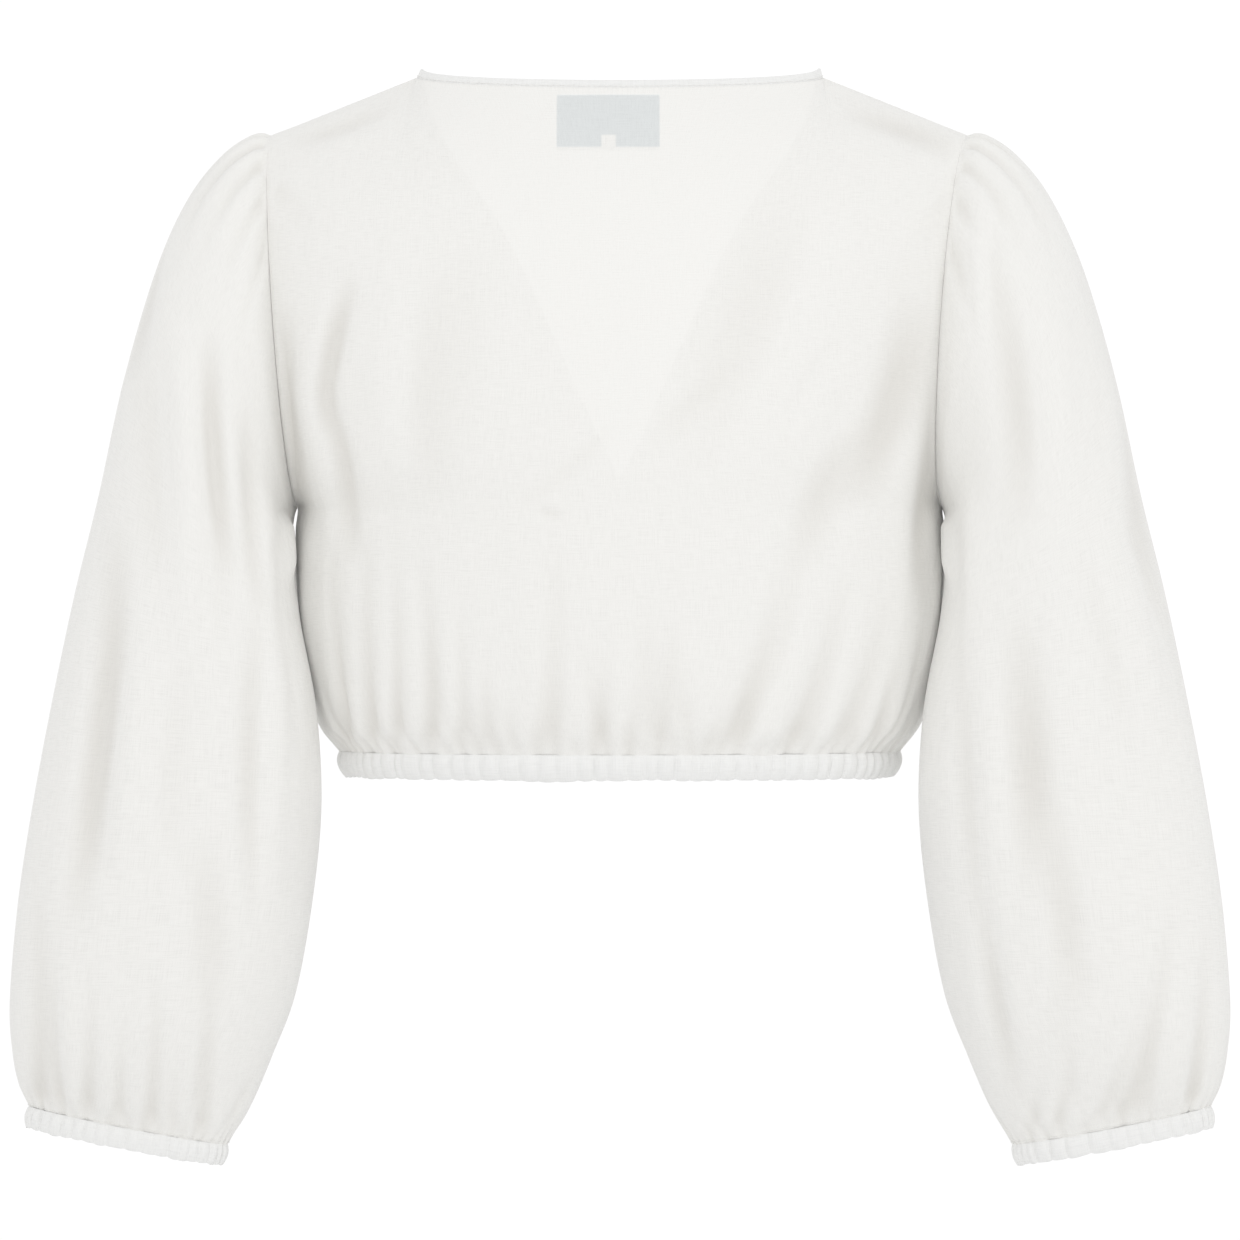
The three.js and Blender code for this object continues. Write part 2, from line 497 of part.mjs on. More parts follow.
// The point of the back under a place (x, z), and its normal, for what is sewn on inside.
function backAt(x, z) {
  let [u, t] = [x / 180, 9];
  for (let k = 0; k < 40; k++) {
    const p = bodyPoint(-1, u, t);
    u += (x - p.x) / 250;
    t += (z - p.z) / 60;
  }
  const step = 0.01;
  const across = bodyPoint(-1, u + step, t).sub(bodyPoint(-1, u - step, t));
  const up = bodyPoint(-1, u, t + step).sub(bodyPoint(-1, u, t - step));
  return { point: bodyPoint(-1, u, t), normal: across.cross(up).normalize() };
}

// A small patch inside the back: sizes is label or sizeTab, gap its distance from the cloth.
function patch(name, sizes, gapAt, material) {
  const rows = count(7, (j) => count(11, (i) => ({ i: i / 10 - 0.5, j: j / 6 })));
  const layer = (off) =>
    rows.map((row) =>
      row.map(({ i, j }) => {
        const { point, normal } = backAt(sizes.centreX + i * sizes.width, sizes.top - j * sizes.height);
        return point.addScaledVector(normal, -(clothThickness + gapAt(j) + off));
      }),
    );
  return piece(name, wallGeometry(layer(0), layer(sizes.thickness), false), material);
}

// The narrow band round the neck: across the back from left to right, then round the front.
function neckBand(name) {
  const edge = [];
  for (const face of [-1, 1]) {
    const { points, normals, across } = plainPanel(face);
    const top = points[points.length - 1];
    const below = points[points.length - 2];
    const inNeck = across.map((u, i) => i).filter((i) => Math.abs(across[i]) <= shoulder.neckShare + 0.001);
    const order = face < 0 ? inNeck : inNeck.reverse().slice(1, -1);
    for (const i of order) edge.push({ at: top[i], out: normals[points.length - 1][i], below: below[i] });
  }
  const n = edge.length;
  // What points away from the cloth across one stretch of the edge.
  const awayOn = edge.map(({ at, out, below }, k) => {
    const next = edge[(k + 1) % n];
    const along = next.at.clone().sub(at);
    const normal = out.clone().add(next.out).normalize();
    const away = along.cross(normal).normalize();
    return away.dot(at.clone().sub(below)) < 0 ? away.negate() : away;
  });
  const loops = edge.map(({ at, out }, k) => {
    const [a, b] = [awayOn[(k + n - 1) % n], awayOn[k]];
    const away = a.clone().add(b).divideScalar(1 + a.dot(b));
    const corner = (off, far) => at.clone().addScaledVector(out, off).addScaledVector(away, far);
    const [low, high] = [binding.gap, binding.gap + binding.width];
    const [outside, inside] = [(binding.thickness - clothThickness) / 2, -(binding.thickness + clothThickness) / 2];
    return [corner(outside, low), corner(outside, high), corner(inside, high), corner(inside, low)];
  });
  return piece(name, ringGeometry(loops), clothMaterial);
}

const blouse = new THREE.Group();
blouse.add(panel("back", -1));
blouse.add(panel("front", 1));
blouse.add(sleeve("sleeve_left", -1));
blouse.add(sleeve("sleeve_right", 1));
blouse.add(neckBand("neck_band"));
blouse.add(casing("hem_casing", hemRing, hem, vec(0, 0, -1)));
blouse.add(casing("cuff_left", cuffRing(-1), cuff, cuffAxes(-1).down));
blouse.add(casing("cuff_right", cuffRing(1), cuff, cuffAxes(1).down));
blouse.add(patch("label", label, (j) => seamGap + label.hang * j, labelMaterial));
blouse.add(patch("size_tab", sizeTab, () => sizeTab.off, tabMaterial));

export default blouse;
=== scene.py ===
import math
import bpy
import numpy as np
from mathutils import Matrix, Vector


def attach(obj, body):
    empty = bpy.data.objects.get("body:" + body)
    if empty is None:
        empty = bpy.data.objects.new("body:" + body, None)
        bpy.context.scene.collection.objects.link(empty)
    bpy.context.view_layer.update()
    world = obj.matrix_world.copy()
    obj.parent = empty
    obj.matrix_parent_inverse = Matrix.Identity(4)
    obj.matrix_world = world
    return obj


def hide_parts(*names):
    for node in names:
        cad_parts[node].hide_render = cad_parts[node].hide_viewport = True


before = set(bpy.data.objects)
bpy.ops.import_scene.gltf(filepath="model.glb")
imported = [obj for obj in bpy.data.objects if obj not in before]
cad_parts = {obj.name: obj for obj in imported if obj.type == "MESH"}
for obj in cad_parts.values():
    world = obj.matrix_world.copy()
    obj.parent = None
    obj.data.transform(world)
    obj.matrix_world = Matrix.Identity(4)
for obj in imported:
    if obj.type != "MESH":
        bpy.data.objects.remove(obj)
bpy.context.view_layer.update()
mm = 0.001

# camera
cameraSettings = {"distance": 3.2, "height": -0.289, "frameWidth": 0.6944}


def makeCamera(settings):
    data = bpy.data.cameras.new("viewCamera")
    data.sensor_width = 36
    data.lens = 36 * settings["distance"] / settings["frameWidth"]
    data.clip_end = 50
    camera = bpy.data.objects.new("viewCamera", data)
    camera.location = (0, -settings["distance"], settings["height"])
    camera.rotation_euler = (math.radians(90), 0, 0)
    bpy.context.scene.collection.objects.link(camera)
    bpy.context.scene.camera = camera


makeCamera(cameraSettings)
print("camera ready")

# the same sizes as the solids, in millimetres
shoulder = {
    "neckX": 113.5, "neckY": -5, "neckZ": 14.4,
    "tipX": 195, "tipY": 0, "tipZ": -17.5,
    "neckShare": 0.55,
}
frontNeck = {"vShare": 0.43, "vCurve": 0.86}
armhole = {"midZ": -121.5, "halfZ": 104, "lowX": 181, "lowY": 6, "backReach": 50, "frontReach": 47}
armholeLean = {(-1, -1): 4, (-1, 1): -11, (1, -1): -4, (1, 1): -7}  # (face, side)
underarm = {"row": 4, "rise": 6}  # the side seams end at this row of the table and rise towards it

# rows from the hem up: height and depth of back and front at their middle, half width, side seam,
# angle round the armhole, how far the row bends round, and its share of the neck's and shoulders' edge
bodyColumns = ("backZ", "back", "frontZ", "front", "half", "seamY", "angle", "turn", "top")
bodySections = [
    (-362.7, 88, -362.7, 112, 158, 14, 180, 90, 0),
    (-347, 97, -347, 121, 170, 14, 180, 90, 0),
    (-322, 104, -322, 130, 177, 13, 180, 90, 0),
    (-280, 109, -280, 138, 181.5, 10, 180, 90, 0),
    (-232, 113, -232, 140, 181, 6, 180, 86, 0),
    (-195, 115, -195, 136, 181, 6, 142, 80, 0),
    (-152, 113, -152, 124, 181, 6, 112, 72, 0),
    (-105, 106, -105, 106, 181, 6, 82, 66, 0),
    (-62, 94, -62, 86, 181, 6, 54, 62, 0),
    (-26, 76, -28, 66, 181, 6, 28, 60, 0.35),
    (4, 55.5, 0, 46, 181, 6, 0, 58, 1),
]
# rings from the head down: outer and inner point, depth of the middle, how far back and front stand out,
# and how much the ring still leans with the armhole
sleeveColumns = ("outX", "outZ", "inX", "inZ", "midY", "back", "front", "lean")
sleeveSections = [
    (205.5, -18.5, 182.5, -230, -2, 57, 51, 0.9),
    (221.5, -29, 183.7, -234, -4, 61, 54, 0.8),
    (238, -49, 184.5, -239, -7, 62, 55, 0.65),
    (253, -79, 183.5, -245, -11, 61, 55, 0.5),
    (265, -114, 182.5, -252, -15, 60, 54, 0.35),
    (277.5, -162, 181.5, -263, -20, 58, 53, 0.2),
    (289.5, -220, 178, -281, -25, 56, 51, 0.1),
    (302.5, -275, 173.5, -307, -29, 54, 49, 0),
    (314.5, -333, 167.5, -346, -32, 52, 48, 0),
    (325.5, -392, 165.5, -393, -33, 52, 48, 0),
    (333.5, -446, 170, -442, -34, 51, 47, 0),
    (338, -500, 179.5, -495, -34, 47, 44, 0),
    (336.5, -528, 192.5, -530, -34, 40, 38, 0),
    (333, -546, 204.5, -558, -34, 30, 29, 0),
    (327.5, -558, 217, -579.5, -34, 21, 21, 0),
]
bodyTable = dict(zip(bodyColumns, np.array(bodySections, float).T))
sleeveTable = dict(zip(sleeveColumns, np.array(sleeveSections, float).T))
lastBodyRow = len(bodySections) - 1
lastSleeveRow = len(sleeveSections)


def mix(a, b, t):
    return a + (b - a) * t


def smooth(x, low, high):
    t = np.clip((x - low) / (high - low), 0, 1)
    return t * t * (3 - 2 * t)


def curveBetween(a, b, c, d, f):  # from b to c on the smooth curve through four values
    return b + (f / 2) * (c - a + f * (2 * a - 5 * b + 4 * c - d + f * (3 * (b - c) + d - a)))


def withEnds(values):  # one more value at each end, carried straight on
    return np.concatenate([[2 * values[0] - values[1]], values, [2 * values[-1] - values[-2]]])


def through(values, t):  # the smooth curve through the values of all rows, at row t
    low = np.clip(np.floor(t).astype(int), 0, len(values) - 2)
    padded = withEnds(values)
    return curveBetween(*(padded[low + k] for k in range(4)), t - low)


# body form
def armholePoint(angle, face, side):
    c, s = np.cos(np.radians(angle)), np.sin(np.radians(angle))
    reach = np.where(face < 0, armhole["backReach"], armhole["frontReach"])
    lean = np.where(
        face < 0,
        np.where(side < 0, armholeLean[(-1, -1)], armholeLean[(-1, 1)]),
        np.where(side < 0, armholeLean[(1, -1)], armholeLean[(1, 1)]),
    )
    down = (1 - c) / 2
    x = side * (mix(shoulder["tipX"], armhole["lowX"], down) + lean * s)
    y = mix(shoulder["tipY"], armhole["lowY"], down) + face * reach * s
    return np.stack([x, y, armhole["midZ"] + armhole["halfZ"] * c], -1)


def topEdge(w, face, side):
    level = bodyTable["backZ"][-1] if face < 0 else bodyTable["frontZ"][-1]
    deep = bodyTable["back"][-1] if face < 0 else bodyTable["front"][-1]
    q = np.clip(w / shoulder["neckShare"], 0, 1) * math.pi / 2
    r = np.clip((w - shoulder["neckShare"]) / (1 - shoulder["neckShare"]), 0, 1)
    inNeck = w <= shoulder["neckShare"]
    neckX, neckY, neckZ = (shoulder[key] for key in ("neckX", "neckY", "neckZ"))
    tipX, tipY, tipZ = (shoulder[key] for key in ("tipX", "tipY", "tipZ"))
    x = np.where(inNeck, neckX * np.sin(q), mix(neckX, tipX, r))
    y = np.where(inNeck, mix(neckY, face * deep, np.cos(q)), mix(neckY, tipY, r))
    z = np.where(inNeck, mix(level, neckZ, 1 - np.cos(q)), mix(neckZ, tipZ, r))
    return np.stack([side * x, y, z], -1)


def roundPoint(level, deep, turn, end, w, face):  # along a row, from the middle of a face to its end
    part = (1 - np.cos(turn * w)) / (1 - np.cos(turn))
    x = end[..., 0] * np.sin(turn * w) / np.sin(turn)
    return np.stack([x, mix(face * deep, end[..., 1], part), mix(level, end[..., 2], w * w)], -1)


def bodyPoint(face, u, t):  # u from -1 to 1 across the face, t in rows from the hem
    u, t = np.broadcast_arrays(np.asarray(u, float), np.asarray(t, float))
    side = np.where(u < 0, -1, 1)
    w = np.abs(u)
    row = {name: through(values, t) for name, values in bodyTable.items()}
    level, deep = (row["backZ"], row["back"]) if face < 0 else (row["frontZ"], row["front"])
    rise = underarm["rise"] * smooth(t, underarm["row"] - 2, underarm["row"]) ** 2
    seam = np.stack([side * row["half"], row["seamY"], level + rise], -1)
    hole = armholePoint(row["angle"], face, side)
    end = np.where((t < underarm["row"])[..., None], seam, hole)
    point = roundPoint(level, deep, np.radians(row["turn"]), end, w, face)
    tip = armholePoint(0 * t, face, side)
    last = {name: values[-1] for name, values in bodyTable.items()}
    lastLevel, lastDeep = (last["backZ"], last["back"]) if face < 0 else (last["frontZ"], last["front"])
    plain = roundPoint(lastLevel, lastDeep, math.radians(last["turn"]), tip, w, face)
    return point + np.clip(row["top"], 0, None)[..., None] * (topEdge(w, face, side) - plain)


def upperRow(face, w):  # where the cloth ends: shoulder, neck, and on the front the V
    if face < 0:
        return np.full(np.shape(w), float(lastBodyRow))
    share = np.clip(w / shoulder["neckShare"], 0, 1) ** frontNeck["vCurve"]
    return lastBodyRow * mix(frontNeck["vShare"], 1, share)


# sleeve form
def sleevePoint(side, turn, row):  # turn in degrees from the outer side over the back, row 0 at the armhole
    turn, row = np.broadcast_arrays(np.asarray(turn, float), np.asarray(row, float))
    c, s = np.cos(np.radians(turn)), np.sin(np.radians(turn))
    face = np.where(s < 0, 1, -1)
    angle = np.where(turn <= 180, turn, 360 - turn)
    seam = armholePoint(angle, face, np.full(np.shape(turn), side))
    lean = np.where(s < 0, armholeLean[(1, side)], armholeLean[(-1, side)]) * np.abs(s)
    rings = [seam]
    for k in range(len(sleeveSections)):
        ring = {name: values[k] for name, values in sleeveTable.items()}
        x = mix(ring["inX"], ring["outX"], (1 + c) / 2) + ring["lean"] * lean
        y = ring["midY"] - s * np.where(s < 0, ring["front"], ring["back"])
        rings.append(np.stack([side * x, y, mix(ring["inZ"], ring["outZ"], (1 + c) / 2)], -1))
    rings = np.stack(rings)
    padded = withEnds(rings)
    low = np.clip(np.floor(row).astype(int), 0, len(rings) - 2)
    f = (row - low)[..., None]
    return curveBetween(*(np.take_along_axis(padded, (low + k)[None, ..., None], 0)[0] for k in range(4)), f)


def cuffDown(side):  # the way from the sleeve towards the hand, square to the cuff
    last = {name: values[-1] for name, values in sleeveTable.items()}
    across = np.array([side * (last["outX"] - last["inX"]), 0, last["outZ"] - last["inZ"]])
    across /= np.linalg.norm(across)
    return np.array([side * across[2], 0, -abs(across[0])])


# folds
creaseShape = {
    "strength": 1.1,
    "lip": 0.3, "lipPlace": 2.0,  # raised edges, as shares of the depth and the width
    "fullShade": 3.2,  # folds this deep, in mm, take the whole painted fold shade
}


# height of creases given by their two ends (x, z), seen flat: each a trough with soft raised lips
def creaseField(points, table):
    total = np.zeros(points.shape[:-1])
    for x0, z0, x1, z1, bow, width, depth, fade in table:
        run = np.array([x1 - x0, z1 - z0], float)
        length = np.linalg.norm(run)
        run /= length
        dx, dz = points[..., 0] - x0, points[..., 2] - z0
        r = (dx * run[0] + dz * run[1]) / length  # 0 at its first end, 1 at the other
        rr = np.clip(r, 0, 1)
        d = dx * run[1] - dz * run[0] - bow * np.sin(math.pi * rr)  # distance from its middle line
        if fade == "start":  # deepest where it starts
            along = (1 - rr) ** 1.5 * smooth(r, -0.06, 0.0)
        else:
            along = np.sin(math.pi * rr) ** 1.1
        q = d / width
        lips = creaseShape["lip"] * np.exp(-((np.abs(q) - creaseShape["lipPlace"]) ** 2))
        total += depth * along * (np.exp(-q * q) - lips)
    return total * creaseShape["strength"]


def foldShadeShare(depth):  # how deep a point lies in a fold, from 0 to 1: the share of painted shade the material puts there
    return np.clip(-depth / creaseShape["fullShade"], 0, 1)


# short folds that start at an elastic or a sleeve head, uneven in length, depth and lean
gatherShape = {
    "uneven": 0.22, "lean": 0.10,
    "narrow": 0.22, "wide": 0.34,  # widths, as shares of the spacing
    "lengths": (1.3, 0.55), "shorten": 2.2,  # most are short, a few run far
}


def makeGathers(seed, spacing, span, lengths, depths):
    rng = np.random.default_rng(seed)
    enough = int(2.2 * span / spacing)
    steps = spacing * np.exp(rng.normal(0, gatherShape["uneven"], enough))
    places = np.cumsum(steps)
    places = places[places < span - 0.5 * spacing]
    n = len(places)
    longer = rng.gamma(*gatherShape["lengths"], n) / gatherShape["shorten"]
    reach = lengths[0] * np.exp(longer * math.log(lengths[1] / lengths[0]))
    return {
        "place": places,
        "reach": np.minimum(reach, lengths[1]),
        "depth": mix(depths[0], depths[1], rng.random(n)),
        "width": spacing * mix(gatherShape["narrow"], gatherShape["wide"], rng.random(n)),
        "lean": rng.normal(0, gatherShape["lean"], n),
    }


def gatherField(place, rise, gathers, span):
    total = np.zeros(np.broadcast(place, rise).shape)
    for k in range(len(gathers["place"])):
        d = place - gathers["place"][k] - gathers["lean"][k] * rise
        d = (d + span / 2) % span - span / 2
        wide = gathers["width"][k] * (1 + rise / gathers["reach"][k])
        fade = np.exp(-((rise / gathers["reach"][k]) ** 2))
        total -= gathers["depth"][k] * fade * np.exp(-((d / wide) ** 2))
    return total


# mesh making
def gridNormals(points, wraps):
    if wraps:
        across = np.roll(points, -1, 1) - np.roll(points, 1, 1)
    else:
        across = np.gradient(points, axis=1)
    n = np.cross(across, np.gradient(points, axis=0))
    return n / np.maximum(np.linalg.norm(n, axis=-1, keepdims=True), 1e-9)


def gridMesh(name, points, wraps=False, uv=None, foldShade=None):
    rows, columns = points.shape[:2]
    jj, ii = np.meshgrid(np.arange(rows - 1), np.arange(columns if wraps else columns - 1), indexing="ij")
    low, high, beside = jj * columns, (jj + 1) * columns, (ii + 1) % columns
    quads = np.stack([low + ii, low + beside, high + beside, high + ii], -1).reshape(-1, 4)
    mesh = bpy.data.meshes.new(name)
    mesh.vertices.add(rows * columns)
    mesh.vertices.foreach_set("co", (points.reshape(-1, 3) * mm).astype(np.float32).ravel())
    mesh.loops.add(quads.size)
    mesh.loops.foreach_set("vertex_index", quads.ravel().astype(np.int32))
    mesh.polygons.add(len(quads))
    mesh.polygons.foreach_set("loop_start", np.arange(0, quads.size, 4, dtype=np.int32))
    mesh.update(calc_edges=True)
    mesh.polygons.foreach_set("use_smooth", np.ones(len(quads), bool))
    if uv is not None:  # cloth coordinates in metres, kept whole over the closing seam
        layer = mesh.uv_layers.new(name="cloth")
        width, height = uv
        u = np.stack([ii, ii + 1, ii + 1, ii], -1) / columns * width
        v = np.stack([jj, jj, jj + 1, jj + 1], -1) / rows * height
        layer.data.foreach_set("uv", np.stack([u, v], -1).astype(np.float32).ravel())
    # painted shade for the folds, kept as a point attribute for the material
    if foldShade is not None:
        folds = mesh.attributes.new("foldShade", "FLOAT", "POINT")
        folds.data.foreach_set("value", foldShade.astype(np.float32).ravel())
    obj = bpy.data.objects.new(name, mesh)
    bpy.context.scene.collection.objects.link(obj)
    return obj


def finishPiece(obj, material, slotName, *nodes):
    obj.data.materials.append(material)
    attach(obj, "root")
    if nodes:
        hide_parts(*nodes)
    return obj


# materials
def groupSocket(tree, name, inOut, kind="NodeSocketFloat", value=None):
    socket = tree.interface.new_socket(name=name, in_out=inOut, socket_type=kind)
    if value is not None:
        socket.default_value = value
    return socket


def mathNode(tree, operation, a, b=None, clamp=False):
    node = tree.nodes.new("ShaderNodeMath")
    node.operation = operation
    node.use_clamp = clamp
    for k, value in enumerate((a, b)):
        if value is None:
            continue
        if isinstance(value, (int, float)):
            node.inputs[k].default_value = value
        else:
            tree.links.new(value, node.inputs[k])
    return node.outputs[0]


def makeWeaveGroup():  # plain weave: thread relief, how closely the cloth covers, and uneven yarn
    tree = bpy.data.node_groups.new("plainWeave", "ShaderNodeTree")
    groupSocket(tree, "threadsPerMetre", "INPUT", value=2200)
    groupSocket(tree, "openness", "INPUT", value=1.5)
    groupSocket(tree, "yarnUneven", "INPUT", value=0.5)
    groupSocket(tree, "relief", "OUTPUT")
    groupSocket(tree, "cover", "OUTPUT")
    groupSocket(tree, "tone", "OUTPUT")
    start = tree.nodes.new("NodeGroupInput")
    end = tree.nodes.new("NodeGroupOutput")
    place = tree.nodes.new("ShaderNodeUVMap")
    place.uv_map = "cloth"
    split = tree.nodes.new("ShaderNodeSeparateXYZ")
    tree.links.new(place.outputs["UV"], split.inputs[0])
    waves = []
    for axis in ("X", "Y"):
        turns = mathNode(tree, "MULTIPLY", split.outputs[axis], start.outputs["threadsPerMetre"])
        waves.append(mathNode(tree, "SINE", mathNode(tree, "MULTIPLY", turns, math.pi)))
    crossing = mathNode(tree, "MULTIPLY", waves[0], waves[1])
    relief = mathNode(tree, "MULTIPLY_ADD", crossing, 0.5)
    relief.node.inputs[2].default_value = 0.5
    tree.links.new(relief, end.inputs["relief"])
    threads = [mathNode(tree, "ABSOLUTE", wave) for wave in waves]
    widest = mathNode(tree, "MAXIMUM", *threads)
    yarns = []
    fine, long = 2600, 90
    for stretch in ((fine, long, 1), (long, fine, 1)):  # slubs along one set of threads, then the other
        mapping = tree.nodes.new("ShaderNodeMapping")
        mapping.inputs["Scale"].default_value = stretch
        tree.links.new(place.outputs["UV"], mapping.inputs["Vector"])
        noise = tree.nodes.new("ShaderNodeTexNoise")
        noise.inputs["Scale"].default_value = 1
        noise.inputs["Detail"].default_value = 2
        tree.links.new(mapping.outputs["Vector"], noise.inputs["Vector"])
        yarns.append(noise.outputs["Fac"])
    yarn = mathNode(tree, "SUBTRACT", mathNode(tree, "ADD", yarns[0], yarns[1]), 1.0)
    uneven = mathNode(tree, "MULTIPLY", yarn, start.outputs["yarnUneven"])
    tree.links.new(mathNode(tree, "ADD", uneven, 0.5, clamp=True), end.inputs["tone"])
    cover = mathNode(tree, "POWER", widest, start.outputs["openness"])
    thicker = mathNode(tree, "MULTIPLY", uneven, 0.3)
    tree.links.new(mathNode(tree, "ADD", cover, thicker, clamp=True), end.inputs["cover"])
    return tree


def makeCrinkleGroup():  # soft broken surface of washed cotton, between the folds and the threads
    tree = bpy.data.node_groups.new("softCrinkle", "ShaderNodeTree")
    groupSocket(tree, "size", "INPUT", value=60)
    groupSocket(tree, "fineness", "INPUT", value=0.35)
    groupSocket(tree, "height", "OUTPUT")
    start = tree.nodes.new("NodeGroupInput")
    end = tree.nodes.new("NodeGroupOutput")
    place = tree.nodes.new("ShaderNodeTexCoord")
    parts = []
    for factor, stretch in ((1.0, (1, 1, 0.45)), (4.5, (1, 1, 0.7))):  # broad and fine, drawn out downwards
        mapping = tree.nodes.new("ShaderNodeMapping")
        mapping.inputs["Scale"].default_value = stretch
        tree.links.new(place.outputs["Object"], mapping.inputs["Vector"])
        noise = tree.nodes.new("ShaderNodeTexNoise")
        noise.inputs["Detail"].default_value = 3
        noise.inputs["Roughness"].default_value = 0.45
        tree.links.new(mapping.outputs["Vector"], noise.inputs["Vector"])
        tree.links.new(mathNode(tree, "MULTIPLY", start.outputs["size"], factor), noise.inputs["Scale"])
        parts.append(noise.outputs["Fac"])
    fine = mathNode(tree, "MULTIPLY", parts[1], start.outputs["fineness"])
    tree.links.new(mathNode(tree, "ADD", parts[0], fine), end.inputs["height"])
    return tree


def makePatchGroup():  # 1 inside an upright rectangle, in metres, and 0 outside
    tree = bpy.data.node_groups.new("patchMask", "ShaderNodeTree")
    for name in ("centreX", "centreZ", "width", "height"):
        groupSocket(tree, name, "INPUT", value=0)
    groupSocket(tree, "inside", "OUTPUT")
    start = tree.nodes.new("NodeGroupInput")
    end = tree.nodes.new("NodeGroupOutput")
    place = tree.nodes.new("ShaderNodeTexCoord")
    split = tree.nodes.new("ShaderNodeSeparateXYZ")
    tree.links.new(place.outputs["Object"], split.inputs[0])
    sides = []
    sharpness = 900  # fades out over about 1 mm
    for axis, centre, size in (("X", "centreX", "width"), ("Z", "centreZ", "height")):
        offset = mathNode(tree, "SUBTRACT", split.outputs[axis], start.outputs[centre])
        away = mathNode(tree, "ABSOLUTE", offset)
        within = mathNode(tree, "SUBTRACT", mathNode(tree, "MULTIPLY", start.outputs[size], 0.5), away)
        sides.append(mathNode(tree, "MULTIPLY", within, sharpness, clamp=True))
    tree.links.new(mathNode(tree, "MULTIPLY", sides[0], sides[1]), end.inputs["inside"])
    return tree


weaveGroup = makeWeaveGroup()
patchGroup = makePatchGroup()
crinkleGroup = makeCrinkleGroup()


def placeGroup(tree, group, **values):
    node = tree.nodes.new("ShaderNodeGroup")
    node.node_tree = group
    for name, value in values.items():
        node.inputs[name].default_value = value
    return node


def makeCloth(name, look, showThrough=None):
    material = bpy.data.materials.new(name)
    material.use_nodes = True
    tree = material.node_tree
    cloth = tree.nodes["Principled BSDF"]
    cloth.inputs["Roughness"].default_value = look["roughness"]
    cloth.inputs["Specular IOR Level"].default_value = look["specular"]
    cloth.inputs["Sheen Weight"].default_value = look["sheen"]
    cloth.inputs["Sheen Roughness"].default_value = 0.5
    yarn = {"threadsPerMetre": look["threads"], "openness": look["openness"], "yarnUneven": look["uneven"]}
    weave = placeGroup(tree, weaveGroup, **yarn)
    tones = tree.nodes.new("ShaderNodeMix")
    tones.data_type = "RGBA"
    tones.inputs[6].default_value = (*look["shade"], 1)
    tones.inputs[7].default_value = (*look["light"], 1)
    tree.links.new(weave.outputs["tone"], tones.inputs[0])
    # painted shade in the folds: the fold colour is mixed in by how deep each point lies in a fold
    foldShade = tree.nodes.new("ShaderNodeAttribute")
    foldShade.attribute_name = "foldShade"
    folds = tree.nodes.new("ShaderNodeMix")
    folds.data_type = "RGBA"
    folds.inputs[7].default_value = (*look["fold"], 1)
    tree.links.new(foldShade.outputs["Fac"], folds.inputs[0])
    tree.links.new(tones.outputs[2], folds.inputs[6])
    colour = folds.outputs[2]
    if showThrough:
        patch, bare = (placeGroup(tree, patchGroup, **place).outputs["inside"] for place in showThrough)
        touching = mathNode(tree, "MULTIPLY", patch, mathNode(tree, "SUBTRACT", 1.0, bare))
        # where the label lies behind, the colour takes the label's tint seen through and painted shade for
        # the light it keeps from passing through the cloth
        over = tree.nodes.new("ShaderNodeMix")
        over.data_type = "RGBA"
        over.inputs[7].default_value = (*look["labelTintAndShade"], 1)
        tree.links.new(touching, over.inputs[0])
        tree.links.new(colour, over.inputs[6])
        colour = over.outputs[2]
    tree.links.new(colour, cloth.inputs["Base Color"])
    if look["openness"] > 0:
        cover = weave.outputs["cover"]
        if showThrough:
            cover = mathNode(tree, "SUBTRACT", cover, mathNode(tree, "MULTIPLY", touching, look["contact"]))
        tree.links.new(cover, cloth.inputs["Alpha"])
    crinkle = placeGroup(tree, crinkleGroup, size=look["crinkleSize"], fineness=0.35)
    broad = tree.nodes.new("ShaderNodeBump")
    broad.inputs["Distance"].default_value = look["crinkleDepth"]
    broad.inputs["Strength"].default_value = 0.8
    tree.links.new(crinkle.outputs["height"], broad.inputs["Height"])
    threads = tree.nodes.new("ShaderNodeBump")
    threads.inputs["Distance"].default_value = 0.00004
    threads.inputs["Strength"].default_value = look["threadBump"]
    tree.links.new(weave.outputs["relief"], threads.inputs["Height"])
    tree.links.new(broad.outputs["Normal"], threads.inputs["Normal"])
    tree.links.new(threads.outputs["Normal"], cloth.inputs["Normal"])
    return material


clothLook = {
    # "fold" is the painted shade colour for the bottoms of folds
    "light": (0.92, 0.914, 0.892), "shade": (0.872, 0.864, 0.836), "fold": (0.80, 0.785, 0.75),
    "labelTintAndShade": (0.87, 0.895, 0.895), "contact": 0.13,  # the label's tint seen through the cloth with painted shade where the label blocks light passing through it, and how much more it shows through
    "roughness": 0.92, "specular": 0.2, "sheen": 0.4,
    "threads": 2200, "threadBump": 0.35, "uneven": 0.5,  # threads in a metre
    "openness": 0.10,  # 0 covers whole
    "crinkleSize": 45, "crinkleDepth": 0.0016,
}
doubledLook = clothLook | {
    "light": (0.905, 0.905, 0.895), "shade": (0.87, 0.87, 0.857), "openness": 0.08, "crinkleDepth": 0.0008,
}
labelLook = clothLook | {
    "light": (0.15, 0.195, 0.205), "shade": (0.11, 0.15, 0.16), "roughness": 0.6,
    "openness": 0, "threads": 5000, "crinkleDepth": 0.0002,
}
tabLook = labelLook | {"light": (0.80, 0.81, 0.80), "shade": (0.72, 0.73, 0.72)}
threadLook = clothLook | {
    "light": (0.93, 0.925, 0.905), "shade": (0.89, 0.88, 0.855),
    "openness": 0, "threads": 4000, "crinkleDepth": 0.0001,
}
sheerCotton = makeCloth("sheerCotton", clothLook)

